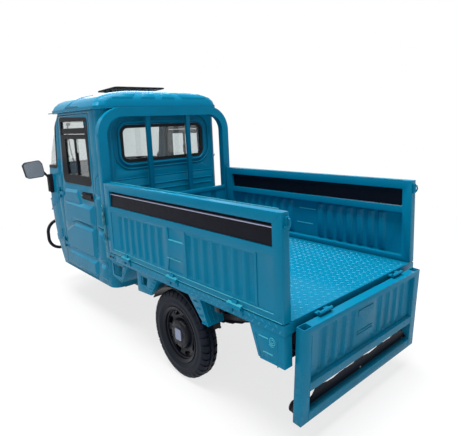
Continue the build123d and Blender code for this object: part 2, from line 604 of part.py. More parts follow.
def plan_outline(height, rear, half, tip, rear_r, corner, nose):
    """Flat back with round corners, straight sides and a front bent to one radius."""
    centre = tip - nose
    corner_x = centre + sqrt((nose - corner) ** 2 - (half - corner) ** 2)
    angle = atan2(half - corner, corner_x - centre)
    touch = (centre + nose * cos(angle), nose * sin(angle))
    middle = (angle + radians(90)) / 2
    shoulder = (corner_x + corner * cos(middle), half - corner + corner * sin(middle))
    bend = rear_r * (1 - sqrt(0.5))
    lines = Line((rear, -half + rear_r), (rear, half - rear_r))
    lines += ThreePointArc((rear, half - rear_r), (rear + bend, half - bend), (rear + rear_r, half))
    lines += Line((rear + rear_r, half), (corner_x, half))
    lines += ThreePointArc((corner_x, half), shoulder, touch)
    lines += ThreePointArc(touch, (tip, 0), (touch[0], -touch[1]))
    lines += ThreePointArc((touch[0], -touch[1]), (shoulder[0], -shoulder[1]), (corner_x, -half))
    lines += Line((corner_x, -half), (rear + rear_r, -half))
    lines += ThreePointArc((rear + rear_r, -half), (rear + bend, -half + bend), (rear, -half + rear_r))
    return Plane.XY.offset(height) * make_face(lines)


def cab_form(inset, stretch=0.0):
    """Solid of the cab, every section pulled in by inset; stretch runs it past its ends."""
    sections = []
    for index, (height, reach) in enumerate(CAB_SECTIONS):
        if index == 0:
            height -= stretch
        if index == len(CAB_SECTIONS) - 1:
            height += stretch
        sections.append(plan_outline(height, CAB_REAR + inset, CAB_HALF - inset, CAB_REAR + reach - inset,
                                     CAB_REAR_R - inset, CAB_CORNER_R - inset, CAB_NOSE_R - inset))
    return loft(sections, ruled=True)


def edge_polygon(points, radius=0.0, grow=0.0):
    """Outline in x and z with rounded corners, grown or shrunk by an even margin."""
    face = outline(points)
    if radius:
        face = fillet(face.vertices(), radius)
    if grow:
        face = offset(face, amount=grow, kind=Kind.INTERSECTION)
    return face


def through_y(face, y0, y1):
    return extrude(Plane.XZ.offset(-y1) * face, amount=y1 - y0)


def through_x(face, x0, x1):
    return extrude(Plane.YZ.offset(x0) * face, amount=x1 - x0)


FAR = CAB_HALF + 360         # planes well outside the cab
AHEAD = CAB_REAR + 1785
UNDER = CAB_LOW - 130
OVER = CAB_HIGH + 100
cab_outer = cab_form(0)
shell = cab_outer - cab_form(CAB_WALL, 1)
glass_skin = cab_form(GLASS_SET) - cab_form(GLASS_SET + GLASS, 1)
seal_skin = cab_form(-2) - cab_form(GLASS_SET - SEAT, 1)

# Side outline of the door, its window and the windscreen
DOOR = from_cab(((817, 1676), (879, 1124), (901, 849), (907, 567), (942, 345),
        (295, 345), (251, 681), (230, 850), (215, 1129), (197, 1676)))
DOOR_WINDOW = from_cab(((781, 1652), (827, 1126), (244, 1111), (262, 1648)))
SCREEN = from_cab(((885, 1655), (957, 1222), (1685, 1222), (1685, 1655)))
FRONT_OF_DOOR = DOOR[:5]
REAR_WINDOW_HALF = CAB_HALF - 155
REAR_WINDOW_LOW = 1294.0
REAR_WINDOW_HIGH = 1578.0
REAR_WINDOW_R = 65.0
RING_HALF = CAB_HALF - 100
RING_LOW = 1248.0
RING_HIGH = 1643.0
RING_R = 130.0
RING_DEEP = 10.0
SEAL_WIDE = 24.0

door_face = edge_polygon(DOOR)
door_hole = edge_polygon(DOOR, grow=GAP)
window_face = edge_polygon(DOOR_WINDOW, 34)
screen_face = edge_polygon(SCREEN, 44)
ahead = [(x + GAP, z) for x, z in FRONT_OF_DOOR]
ahead = [(ahead[0][0], OVER)] + ahead + [(ahead[-1][0], UNDER), (AHEAD, UNDER), (AHEAD, OVER)]

# Rear wall with its window in a shallow round-cornered field
rear_wall = shell & box(CAB_REAR - 20, CAB_REAR + CAB_REAR_R + 5, -FAR, FAR, UNDER, OVER)
field = RectangleRounded(2 * RING_HALF, RING_HIGH - RING_LOW, RING_R)
rear_wall -= through_x(Pos(0, (RING_LOW + RING_HIGH) / 2) * field, CAB_REAR - 1, CAB_REAR + RING_DEEP)
pane = RectangleRounded(2 * REAR_WINDOW_HALF, REAR_WINDOW_HIGH - REAR_WINDOW_LOW, REAR_WINDOW_R)
pane = Pos(0, (REAR_WINDOW_LOW + REAR_WINDOW_HIGH) / 2) * pane
rear_wall -= through_x(pane, CAB_REAR - 10, CAB_REAR + CAB_WALL + 10)
LEDGE = 12.0
rear_wall += along_y(((CAB_REAR, 1172), (CAB_REAR, CAB_LOW), (CAB_REAR - LEDGE, CAB_LOW),
                      (CAB_REAR - LEDGE, 1138)), -CAB_HALF + CAB_REAR_R, CAB_HALF - CAB_REAR_R)
parts["cab_rear_wall"] = rear_wall
rear_pane = offset(pane, amount=-SEAT)
parts["rear_window"] = through_x(rear_pane, CAB_REAR + RING_DEEP + 6, CAB_REAR + RING_DEEP + 6 + GLASS)
rear_seal = rear_pane - offset(pane, amount=-SEAL_WIDE)

# Sides: pillar behind the door, header above it and sill below
body_side = shell & box(CAB_REAR + CAB_REAR_R + 5, AHEAD, 0, FAR, UNDER, OVER)
body_side -= along_y(ahead, 0, FAR)
body_side -= through_y(door_hole, CAB_HALF / 2, FAR)
PILLAR_PADS = ((89, 175, 1034, 1065), (110, 200, 751, 788), (90, 205, 486, 524))
for x0, x1, z0, z1 in PILLAR_PADS:
    body_side += box(CAB_REAR + x0, CAB_REAR + x1, CAB_HALF - 1, CAB_HALF + 5, z0, z1)
parts["cab_side_left"] = body_side
parts["cab_side_right"] = other_side(body_side)

# Nose with the windscreen surround and the arch of the front wheel
CREASE = 5.0
NOSE_CREASES = (
    ((1004, 1010), (1305, 872), (1315, 790), (1004, 931)),
    ((1004, 659), (1185, 575), (1185, 520), (1004, 578)))
ARCH_HALF = CAB_HALF - 210
ARCH_HIGH = 490.0
nose = shell & along_y(ahead, -FAR, FAR)
nose -= through_y(screen_face, -FAR, FAR)
crease_skin = cab_form(-CREASE) - cab_form(CAB_WALL / 2, 1)
for crease in NOSE_CREASES:
    for sign in (1, -1):
        nose += crease_skin & along_y(from_cab(crease), *sorted((sign * CAB_HALF / 2, sign * FAR)))
arch = outline(((-ARCH_HALF, UNDER), (ARCH_HALF, UNDER), (ARCH_HALF, ARCH_HIGH), (-ARCH_HALF, ARCH_HIGH)))
arch = fillet(arch.vertices().sort_by(Axis.Y)[-2:], 110)
nose -= through_x(arch, FRONT_X - 70, AHEAD)
screen_glass = offset(screen_face, amount=-SEAT)
parts["windscreen"] = glass_skin & through_y(screen_glass, -FAR, FAR)
screen_ring = screen_glass - offset(screen_face, amount=-SEAL_WIDE)
screen_seal = seal_skin & through_y(screen_ring, -FAR, FAR)
parts["window_seals"] = Compound([screen_seal] + list(
    through_x(rear_seal, CAB_REAR + RING_DEEP - 4, CAB_REAR + RING_DEEP + 6 - SEAT).solids()))

# Doors, hinged at the front edge, with raised fields pressed in the outer skin
DOOR_HINGE_X = DOOR_FRONT + GAP / 2
DOOR_HINGE_Y = CAB_HALF + 9
DOOR_HINGES = ((500, 590), (960, 1050))
DOOR_KNUCKLE = 7.5


def hinge_z(z0, z1):
    """Upright hinge outside the left door: knuckles and pin on the nose, strap on the door."""
    third = (z1 - z0) / 3
    fixed = rod((DOOR_HINGE_X, DOOR_HINGE_Y, z0), (DOOR_HINGE_X, DOOR_HINGE_Y, z1), PIN_R)
    for low, high in ((z0, z0 + third - 1), (z1 - third + 1, z1)):
        fixed += rod((DOOR_HINGE_X, DOOR_HINGE_Y, low), (DOOR_HINGE_X, DOOR_HINGE_Y, high), DOOR_KNUCKLE)
        fixed += box(DOOR_HINGE_X + 4, DOOR_HINGE_X + 46, CAB_HALF - 1, CAB_HALF + 5, low, high)
    low, high = z0 + third, z1 - third
    moving = rod((DOOR_HINGE_X, DOOR_HINGE_Y, low), (DOOR_HINGE_X, DOOR_HINGE_Y, high), DOOR_KNUCKLE)
    moving += box(DOOR_HINGE_X - 105, DOOR_HINGE_X, CAB_HALF + GAP, DOOR_HINGE_Y + 3, low, high)
    moving += box(DOOR_HINGE_X - 105, DOOR_HINGE_X - 60, CAB_HALF - 1, DOOR_HINGE_Y, low, high)
    moving -= rod((DOOR_HINGE_X, DOOR_HINGE_Y, z0), (DOOR_HINGE_X, DOOR_HINGE_Y, z1), PIN_R + PIN_FIT)
    return fixed, moving


DOOR_PADS = (
    ((857, 546), (859, 705), (724, 770), (607, 791), (267, 776), (297, 523)),
    ((865, 372), (875, 500), (303, 494), (319, 366)))
PAD_PROUD = 7.0
door = through_y(door_face, CAB_HALF - CAB_WALL, CAB_HALF)
door -= through_y(window_face, CAB_HALF - CAB_WALL - 5, CAB_HALF + 5)
for pad in DOOR_PADS:
    raised = along_y(from_cab(pad), CAB_HALF - 2, CAB_HALF + PAD_PROUD)
    door += chamfer(raised.faces().sort_by(Axis.Y)[-1].edges(), PAD_PROUD - 1)
HANDLE = from_cab(((231, 992), (245, 1060), (435, 1056), (447, 996)))
HANDLE_DEEP = 14.0
door -= along_y(HANDLE, CAB_HALF - HANDLE_DEEP, CAB_HALF + 5)
for low, high in DOOR_HINGES:
    fixed, moving = hinge_z(low, high)
    door += moving
    nose += fixed
    nose += other_side(fixed)
parts["cab_nose"] = nose
parts["door_left"] = door
parts["door_right"] = other_side(door)
pane_face = offset(window_face, amount=-SEAT)
glass = through_y(pane_face, CAB_HALF - GLASS_SET - GLASS, CAB_HALF - GLASS_SET)
parts["door_glass_left"] = glass
parts["door_glass_right"] = other_side(glass)
ring = pane_face - offset(window_face, amount=-SEAL_WIDE)
trim = through_y(ring, CAB_HALF - GLASS_SET + SEAT, CAB_HALF + 2)
MID_BAR = from_cab(((245, 1525), (245, 1570), (825, 1572), (825, 1527)))
trim += through_y(outline(MID_BAR) & pane_face, CAB_HALF - GLASS_SET + SEAT, CAB_HALF - 1)
plate_face = offset(outline(HANDLE), amount=-SEAT, kind=Kind.INTERSECTION)
handle = through_y(plate_face, CAB_HALF - HANDLE_DEEP + SEAT, CAB_HALF - 4)
handle += box(CAB_REAR + 255, CAB_REAR + 385, CAB_HALF - 6, CAB_HALF + 12, 1014, 1040)
trim_parts = Compound([trim, handle])
parts["door_trim_left"] = trim_parts
parts["door_trim_right"] = other_side(trim_parts)

# Roof: a drip rail and a domed shell, with a hatch that is hinged at its front edge
ROOF_DOME = (              # height, then how far the rear, the sides and the front are drawn in
    (1724, 4, 4, 6), (1756, 8, 18, 40), (1784, 16, 48, 92), (1806, 34, 98, 168), (1824, 70, 170, 270),
    (1840, 140, 270, 400), (1852, 250, 390, 560))
VISOR_TIP = CAB_REAR + CAB_SECTIONS[-1][1] + VISOR


def roof_outline(height, rear_in, side_in, front_in):
    return plan_outline(height, CAB_REAR - ROOF_OUT + rear_in, CAB_HALF + ROOF_OUT - side_in,
                        VISOR_TIP - front_in, CAB_REAR_R, CAB_CORNER_R, CAB_NOSE_R)


band = extrude(roof_outline(CAB_HIGH + SEAT, 0, 0, 0), amount=ROOF_DOME[0][0] - CAB_HIGH - SEAT)
band -= cab_form(CAB_WALL, 60)
dome = loft([roof_outline(*row) for row in ROOF_DOME], ruled=True)
dome -= loft([roof_outline(row[0] - (1 if index == 0 else ROOF_WALL), *(step + ROOF_WALL for step in row[1:]))
              for index, row in enumerate(ROOF_DOME)], ruled=True)
roof = band + dome
HATCH_HOLE = 26.0
hatch_front = HATCH_X + HATCH_LONG
roof -= box(HATCH_X + HATCH_HOLE, hatch_front - HATCH_HOLE, -HATCH_HALF + HATCH_HOLE, HATCH_HALF - HATCH_HOLE,
            1780, 1900)
HATCH_PIN_X = hatch_front + 8
HATCH_PIN_Z = 1868.0
HATCH_THICK = 12.0
HATCH_TILT = 1.8
EAR = 6.5
hatch = Pos((HATCH_X + hatch_front) / 2, 0, HATCH_PIN_Z + 1) * extrude(
    RectangleRounded(HATCH_LONG, 2 * HATCH_HALF, 34), amount=HATCH_THICK)
hatch = chamfer(hatch.faces().sort_by(Axis.Z)[-1].edges(), HATCH_THICK / 3)
for sign in (1, -1):
    low, high = sorted((sign * 110, sign * 150))
    hatch += disc_y(HATCH_PIN_X, HATCH_PIN_Z, EAR, low, high)
    hatch += box(hatch_front - 12, HATCH_PIN_X, low, high, HATCH_PIN_Z - 3, HATCH_PIN_Z + 9)
    hatch -= disc_y(HATCH_PIN_X, HATCH_PIN_Z, 3 + PIN_FIT, low - 5, high + 5)
    roof += disc_y(HATCH_PIN_X, HATCH_PIN_Z, 3, *sorted((sign * 100, sign * 160)))
    for edge in (100, 152):
        low, high = sorted((sign * edge, sign * (edge + 8)))
        roof += along_y(((HATCH_PIN_X - 6, HATCH_PIN_Z + 5), (HATCH_PIN_X + 6, HATCH_PIN_Z + 5),
                         (HATCH_PIN_X + 20, 1830), (HATCH_PIN_X - 6, 1830)), low, high)
parts["roof"] = roof
tilt = Pos(HATCH_PIN_X, 0, HATCH_PIN_Z) * Rot(0, HATCH_TILT, 0) * Pos(-HATCH_PIN_X, 0, -HATCH_PIN_Z)
parts["roof_hatch"] = tilt * hatch

# Inside the cab
FLOOR_PLATE = 20.0
interior = cab_form(CAB_WALL + SEAT)
cab_floor = box(CAB_REAR, WELL_X, -CAB_HALF, CAB_HALF, CAB_LOW, CAB_LOW + FLOOR_PLATE) & interior
DASH_Z = 1100.0
firewall = box(WELL_X - 2, WELL_X + 14, -CAB_HALF + CAB_WALL + GAP, CAB_HALF - CAB_WALL - GAP,
               CAB_LOW, DASH_Z)
firewall -= box(WELL_X - 40, WELL_X + 40, -30, 30, CAB_LOW - 10, 700)
firewall -= box(WELL_X - 40, WELL_X + 60, -45, 45, 1030, DASH_Z + 40)
parts["cab_floor"] = cab_floor + firewall
dash = box(WELL_X - 2, AHEAD, -CAB_HALF, CAB_HALF, DASH_Z + SEAT, DASH_Z + 22)
dash &= interior
dash -= box(WELL_X - 40, WELL_X + 75, -48, 48, DASH_Z - 20, DASH_Z + 40)
dash += box(WELL_X + 95, WELL_X + 190, -110, 110, DASH_Z + 10, DASH_Z + 56)
parts["dash_panel"] = dash

SEAT_X = CAB_REAR + 85
SEAT_HALF = CAB_HALF - 110
SEAT_TOP = 690.0
seat_box = box(SEAT_X, SEAT_X + 440, -SEAT_HALF, SEAT_HALF, CAB_LOW + FLOOR_PLATE + SEAT, SEAT_TOP)
parts["seat_base"] = fillet(seat_box.edges().filter_by(Axis.Z), 12)
cushion = box(SEAT_X + 40, SEAT_X + 470, -SEAT_HALF, SEAT_HALF, SEAT_TOP + SEAT, SEAT_TOP + 96)
cushion = fillet(cushion.edges().filter_by(Axis.Z), 50)
parts["seat_cushion"] = chamfer(cushion.faces().sort_by(Axis.Z)[-1].edges(), 22)
backrest = box(CAB_REAR + CAB_WALL + SEAT, CAB_REAR + CAB_WALL + 84, -SEAT_HALF, SEAT_HALF,
               SEAT_TOP + 130, 1230)
backrest = fillet(backrest.edges().filter_by(Axis.X), 60)
parts["seat_backrest"] = chamfer(backrest.faces().sort_by(Axis.X)[-1].edges(), 20)

# Lamps, guard and mirrors on the nose
lamp_skin = cab_form(-12) - cab_form(-SEAT, 1)
LAMP_Y = CAB_HALF - 210
LAMP_Z = 800.0
lamp_face = Pos(LAMP_Y, LAMP_Z) * RectangleRounded(190, 110, 50)
lamp = lamp_skin & through_x(lamp_face, FRONT_X, AHEAD)
parts["headlamps"] = Compound(both_sides(lamp))

GUARD_X = CAB_REAR + 1521
GUARD_TUBE = 16.0
GUARD_Y = CAB_HALF - 29
GUARD_LOW = 352.0
GUARD_TOP = 646.0
POST_Y = GUARD_Y - 131
loop = RectangleRounded(2 * GUARD_Y, GUARD_TOP - GUARD_LOW, 120)
loop_wire = Plane.YZ.offset(GUARD_X) * Pos(0, (GUARD_LOW + GUARD_TOP) / 2) * loop
path = loop_wire.wire()
start = path @ 0
guard = sweep(Plane(origin=start, z_dir=path % 0) * Circle(GUARD_TUBE), path=path)
for z in (GUARD_LOW + 74, GUARD_TOP - 60):
    for sign in (1, -1):
        guard += rod((GUARD_X, sign * POST_Y, z), (GUARD_X - 400, sign * POST_Y, z), 12)
for sign in (1, -1):
    guard += rod((GUARD_X, sign * POST_Y, GUARD_LOW), (GUARD_X, sign * POST_Y, GUARD_TOP), 12)
guard -= cab_form(-SEAT)
guard = max(guard.solids(), key=lambda solid: solid.volume)
parts["front_guard"] = guard

MIRROR_X = CAB_REAR + 1135
MIRROR_FOOT = 1000.0
MIRROR_HEAD = (
    (62, 1165), (76, 1268), (100, 1298), (222, 1286), (246, 1262), (224, 1152), (198, 1138), (82, 1146))
mirror_set = []
mirror_glasses = []
for sign in (1, -1):
    head_face = outline([(CAB_HALF + y, z) for y, z in MIRROR_HEAD])
    head_face = fillet(head_face.vertices(), 11)
    housing = through_x(head_face, MIRROR_X - 16, MIRROR_X + 22)
    housing = chamfer(housing.faces().sort_by(Axis.X)[-1].edges(), 8)
    pocket = through_x(offset(head_face, amount=-7), MIRROR_X - 17, MIRROR_X - 11)
    housing -= pocket
    foot = box(MIRROR_X - 30, MIRROR_X + 24, CAB_HALF + SEAT, CAB_HALF + 36, MIRROR_FOOT, MIRROR_FOOT + 150)
    arm = rod((MIRROR_X, CAB_HALF + 26, MIRROR_FOOT + 130), (MIRROR_X, CAB_HALF + 90, MIRROR_FOOT + 215), 10)
    whole = fuse(housing, foot, arm) - pocket
    silver = through_x(offset(head_face, amount=-7 - SEAT), MIRROR_X - 15, MIRROR_X - 11 - SEAT)
    mirror_set.append(whole if sign > 0 else other_side(whole))
    mirror_glasses.append(silver if sign > 0 else other_side(silver))
parts["mirrors"] = Compound(mirror_set)
parts["mirror_glass"] = Compound(mirror_glasses)

# Origin on the ground below the middle, then one file for each piece
tail = min(shape.bounding_box().min.X for shape in parts.values())
front = max(shape.bounding_box().max.X for shape in parts.values())
middle = (tail + front) / 2
print("tail", round(tail, 3), "front", round(front, 3), "middle", round(middle, 3), "pieces", len(parts))
os.makedirs("parts", exist_ok=True)
for name, shape in parts.items():
    export_step(Pos(-middle, 0, 0) * shape, "parts/" + name + ".step")
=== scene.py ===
import json
import math
import random
import bmesh
import bpy
from mathutils import Matrix, Vector
from mathutils.geometry import tessellate_polygon


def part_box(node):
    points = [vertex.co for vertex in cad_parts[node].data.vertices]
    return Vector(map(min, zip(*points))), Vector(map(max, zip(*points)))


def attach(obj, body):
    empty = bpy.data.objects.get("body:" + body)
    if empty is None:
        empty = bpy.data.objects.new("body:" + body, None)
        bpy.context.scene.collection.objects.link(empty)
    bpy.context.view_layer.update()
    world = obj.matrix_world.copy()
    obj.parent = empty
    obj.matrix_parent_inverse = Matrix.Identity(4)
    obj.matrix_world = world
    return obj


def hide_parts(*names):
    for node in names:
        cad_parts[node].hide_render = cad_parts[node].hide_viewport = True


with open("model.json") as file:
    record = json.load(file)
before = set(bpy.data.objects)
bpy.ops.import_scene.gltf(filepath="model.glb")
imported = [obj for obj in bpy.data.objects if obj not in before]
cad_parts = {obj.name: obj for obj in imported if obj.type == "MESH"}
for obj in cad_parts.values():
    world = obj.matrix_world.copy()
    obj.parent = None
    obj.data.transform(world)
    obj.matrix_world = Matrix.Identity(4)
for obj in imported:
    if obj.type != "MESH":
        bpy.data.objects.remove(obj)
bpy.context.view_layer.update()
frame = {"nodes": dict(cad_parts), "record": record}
NODES = frame["nodes"]


# Enamelled steel. Cab, bed and tailgate are pressed sheet and welded tube, sprayed in one glossy
# teal; frame, axle and wheels are black. Both get a faint orange peel, and road dust low down.
class Value:
    """A number, colour or shader that changes over a surface: one socket, with Python's operators."""

    def __init__(self, nodes, socket):
        self.nodes = nodes
        self.socket = socket

    def maths(self, operation, *others):
        return self.nodes.node("Math", {"operation": operation}, self, *others)

    def __add__(self, other):
        return self.maths("ADD", other)

    def __rsub__(self, other):
        return self.maths("MULTIPLY", -1.0) + other

    def __mul__(self, other):
        return self.maths("MULTIPLY", other)

    def wave(self):
        """The sine, brought between 0 and 1."""
        return self.maths("SINE") * 0.5 + 0.5

    def ramp(self, low, high):
        """0 at low and 1 at high, smooth between; low may be the larger."""
        ends = (0.0, 1.0) if low < high else (1.0, 0.0)
        return self.nodes.node("MapRange", {"interpolation_type": "SMOOTHSTEP"},
                               self, min(low, high), max(low, high), *ends)


class Nodes:
    """A shader tree, whose nodes are all made by one method."""

    def __init__(self, tree):
        self.tree = tree

    def feed(self, socket, item):
        if isinstance(item, Value):
            self.tree.links.new(item.socket, socket)
        elif isinstance(item, tuple) and len(socket.default_value) == 4:
            socket.default_value = (*item, 1.0)
        else:
            socket.default_value = item

    def node(self, kind, settings=None, *values, out=0, **named):
        """Any node: its settings first, then the values or links of its sockets."""
        node = self.tree.nodes.new("ShaderNode" + kind)
        for key, value in (settings or {}).items():
            setattr(node, key, value)
        for index, value in enumerate(values):
            if value is not None:
                self.feed(node.inputs[index], value)
        for key, value in named.items():
            self.feed(node.inputs[key.replace("_", " ")], value)
        return Value(self, node.outputs[out])

    def show(self, shader):
        output = next(n for n in self.tree.nodes if n.type.startswith("OUTPUT"))
        self.feed(output.inputs["Surface"], shader)


class Finish(Nodes):
    """A material whose patterns are measured in metres from the vehicle's origin."""

    def __init__(self, name, **constants):
        self.material = bpy.data.materials.new(name)
        self.material.use_nodes = True
        super().__init__(self.material.node_tree)
        self.shader = next(n for n in self.tree.nodes if n.type == "BSDF_PRINCIPLED")
        self.place = self.node("TexCoord", out="Object")
        self.x, self.y, self.z = (self.node("SeparateXYZ", None, self.place, out=axis) for axis in "XYZ")
        for key, value in constants.items():
            self.set(key, value)

    def set(self, name, item):
        self.feed(self.shader.inputs[name.replace("_", " ")], item)

    def noise(self, scale, detail=3.0, rough=0.5):
        return self.node("TexNoise", None, Vector=self.place, Scale=scale, Detail=detail, Roughness=rough)

    def blend(self, factor, first, second):
        unused = [None] * 5       # the sockets for the kinds of value that aren't colours
        return self.node("Mix", {"data_type": "RGBA"}, factor, *unused, first, second, out=2)

    def colour(self, factor, first, second):
        self.set("Base Color", self.blend(factor, first, second))

    def bump(self, height, distance, strength):
        self.set("Normal", self.node("Bump", None, Strength=strength, Distance=distance, Height=height))


WORN_BY = {part["node"]: part["material_slot"] for part in frame["record"]["subparts"]}
BODY_OF = {node: body for body, nodes in frame["record"]["behaviour"]["bodies"].items() for node in nodes}
FINISHES = {}


def dress(slot, finish):
    """Gives one finish to a slot and to every CAD node that wears it."""
    FINISHES[slot] = finish.material
    for node, worn in WORN_BY.items():
        if worn == slot:
            for entry in NODES[node].material_slots:
                entry.material = finish.material


ROAD_DUST = (0.05, 0.10, 0.12)


def enamel(name, colour, rough, shine, coat=0.0, dust=ROAD_DUST):
    g = Finish(name, Coat_Roughness=0.06, Specular_IOR_Level=shine)
    cloud = g.noise(5.0, 5.0, 0.6)
    low = g.z.ramp(0.75, 0.15) * cloud.ramp(0.35, 0.7)
    tone = g.blend(cloud.ramp(0.3, 0.75) * 0.35, colour, tuple(c * 0.82 for c in colour))
    g.colour(low * 0.3, tone, dust)
    g.set("Roughness", g.noise(14.0, 3.0, 0.6).ramp(0.3, 0.8) * 0.05 + low * 0.2 + rough)
    g.set("Coat Weight", (1.0 - low * 0.8) * coat)
    g.bump(g.noise(260.0, 2.0, 0.5), 0.0002, 0.12)
    return g


dress("teal_paint", enamel("teal_enamel", (0.0010, 0.158, 0.278), 0.21, 0.06))
dress("black_paint", enamel("black_enamel", (0.0025, 0.004, 0.009), 0.30, 0.14, 0.05, (0.015, 0.017, 0.023)))


# Chassis. A ladder of welded box tube carries the bed, the motor axle hangs on leaf springs, and
# every folded edge is a little round. U-bolts clamp the springs, and a black conduit runs inside.
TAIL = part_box("cab_rear_wall")[0].x - 1.803      # the bed's tail; pieces are drawn in mm from there


def spot(x, y, z):
    return Vector((TAIL + x / 1000, y / 1000, z / 1000))


def rect(a0, a1, b0, b1):
    return [(a0, b0), (a1, b0), (a1, b1), (a0, b1)]


def rounded(points, radius, steps=4):
    """Outline with its corners turned to arcs."""
    result = []
    count = len(points)
    for i in range(count):
        before, here, after = (Vector(points[(i + k) % count]) for k in (-1, 0, 1))
        a = (before - here).normalized()
        b = (after - here).normalized()
        half = math.acos(max(-1.0, min(1.0, a.dot(b)))) / 2
        reach = min(radius / math.tan(half), (before - here).length / 2.1, (after - here).length / 2.1)
        for k in range(steps + 1):
            t = k / steps
            result.append(tuple((1 - t) ** 2 * (here + a * reach) + 2 * t * (1 - t) * here
                                + t ** 2 * (here + b * reach)))
    return result


def inset(points, margin):
    """Outline drawn in by a margin, whichever way it runs round."""
    around = list(zip(points[-1:] + points[:-1], points, points[1:] + points[:1]))
    area = sum(here[0] * after[1] - after[0] * here[1] for _, here, after in around)
    turn = 1 if area > 0 else -1
    result = []
    for before, here, after in around:
        a = (Vector(here) - Vector(before)).normalized()
        b = (Vector(after) - Vector(here)).normalized()
        na, nb = Vector((-a.y, a.x)) * turn, Vector((-b.y, b.x)) * turn
        result.append(tuple(Vector(here) + (na + nb) * (margin / max(0.3, 1 + na.dot(nb)))))
    return result


def turns(count):
    return [math.tau * k / count for k in range(count)]


class Piece:
    """Closed shells gathered into one mesh that rides on one body; side -1 draws them mirrored."""

    def __init__(self, side=1):
        self.bm = bmesh.new()
        self.side = side

    def both(self):
        """For a loop whose shells are drawn on the left, and again on the right."""
        for self.side in (1, -1):
            yield self.side
        self.side = 1

    def at(self, x, y, z):
        return spot(x, self.side * y, z)

    def verts(self, points):
        return [self.bm.verts.new(self.at(*p)) for p in points]

    def belt(self, low, high):
        """Faces between two loops of verts."""
        for k in range(len(low)):
            m = (k + 1) % len(low)
            self.bm.faces.new((low[k], low[m], high[m], high[k]))

    def shell(self, loops, ring=False):
        """Skin from loop to loop, with both ends filled, or joined to its start."""
        for low, high in zip(loops, loops[1:]):
            self.belt(low, high)
        if ring:
            self.belt(loops[-1], loops[0])
        else:
            self.bm.faces.new(loops[0][::-1])
            self.bm.faces.new(loops[-1])
        return self

    def hull(self, points):
        """Convex shell round a few points."""
        result = bmesh.ops.convex_hull(self.bm, input=self.verts(points))
        unused = result["geom_interior"] + result["geom_unused"]
        inside = {thing for thing in unused if isinstance(thing, bmesh.types.BMVert)}
        bmesh.ops.delete(self.bm, geom=list(inside), context="VERTS")
        return self

    def bar(self, x0, x1, section):
        """Straight bar along x, of one convex section in y and z."""
        return self.hull([(x, y, z) for x in (x0, x1) for y, z in section])

    def box(self, x0, x1, y0, y1, z0, z1):
        return self.bar(x0, x1, [(y, z) for y in (y0, y1) for z in (z0, z1)])

    def plate(self, outline, axis, low, high, holes=(), slope=0.0, top=None):
        """Plate across an axis, outlined in the other two; slope draws its high face in, as a chamfer,
        or top gives that face's own outline."""
        def face(outlines, c):
            return [self.verts([{"x": (c, a, b), "y": (a, c, b), "z": (a, b, c)}[axis] for a, b in loop])
                    for loop in outlines]
        loops = [list(outline), *(list(hole) for hole in holes)]
        upper_loops = [list(top) if top else inset(loops[0], slope)]
        upper_loops += [inset(loop, -slope) for loop in loops[1:]]
        flat = [[Vector((a, b, 0)) for a, b in loop] for loop in loops]
        corners = [point for loop in flat for point in loop]
        lower, upper = face(loops, low), face(upper_loops, high)
        for side in (lower, upper):
            every = [vert for loop in side for vert in loop]
            for tri in tessellate_polygon(flat):
                a, b, c = (corners[k] for k in tri)
                if len(set(tri)) == 3 and (b - a).cross(c - a).length > 1e-6:
                    self.bm.faces.new([every[k] for k in tri])
        for ring, above in zip(lower, upper):
            self.belt(ring, above)
        return self

    def rod(self, start, end, radius, sides=12, tip=None):
        """Round bar, or a cone where tip gives another radius for its end."""
        a, b = self.at(*start), self.at(*end)
        turn = (b - a).to_track_quat("Z", "Y").to_matrix().to_4x4()
        bmesh.ops.create_cone(
            self.bm, cap_ends=True, segments=sides, radius1=radius / 1000,
            radius2=(radius if tip is None else tip) / 1000, depth=(b - a).length,
            matrix=Matrix.Translation((a + b) / 2) @ turn)
        return self

    def tube(self, points, radius, sides=10, ring=False):
        """Bent bar through points, with closed ends, or joined to its start."""
        line = [self.at(*p) for p in points]
        ends = (line[-1:], line[:1]) if ring else (line[:1], line[-1:])
        rings = []
        across = None
        for before, here, after in zip(ends[0] + line[:-1], line, line[1:] + ends[1]):
            ahead = (after - before).normalized()
            across = ahead.orthogonal() if across is None else across
            across = (across - ahead * across.dot(ahead)).normalized()
            other = ahead.cross(across)
            spokes = [across * math.cos(t) + other * math.sin(t) for t in turns(sides)]
            rings.append([self.bm.verts.new(here + spoke * radius / 1000) for spoke in spokes])
        return self.shell(rings, ring)

    def loft(self, rows):
        """Closed shell through loops of the same number of points, one after another."""
        return self.shell([self.verts(row) for row in rows])

    def turned(self, x, y, z, section, steps=96, wobble=None):
        """Closed section of (radius, y) swept round a line along y; wobble widens it at each step."""
        rings = [self.verts([(x + r * math.sin(t), y + w + (wobble(k) if wobble else 0.0), z + r * math.cos(t))
                             for k, t in enumerate(turns(steps))]) for r, w in section]
        self.shell(rings, ring=True)
        for (r, _), poles in zip(section, rings):
            if r == 0:
                bmesh.ops.remove_doubles(self.bm, verts=poles, dist=1e-5)
        return self

    def bevel(self, width, segments=2, angle=30, shortest=0.0):
        edges = [e for e in self.bm.edges if len(e.link_faces) == 2
                 and e.calc_face_angle(0) > math.radians(angle) and e.calc_length() > shortest / 1000]
        bmesh.ops.bevel(self.bm, geom=edges, offset=width / 1000, offset_type="OFFSET", segments=segments,
                        profile=0.5, affect="EDGES", clamp_overlap=True)
        return self

    def moved(self, matrix):
        bmesh.ops.transform(self.bm, matrix=matrix, verts=self.bm.verts)
        return self

    def centred(self):
        """Brought from the bed's tail to the piece's own origin, for setting in many places."""
        return self.moved(Matrix.Translation((-TAIL, 0, 0)))

    def mesh(self, name):
        bmesh.ops.recalc_face_normals(self.bm, faces=self.bm.faces)
        mesh = bpy.data.meshes.new(name)
        self.bm.to_mesh(mesh)
        self.bm.free()
        return mesh

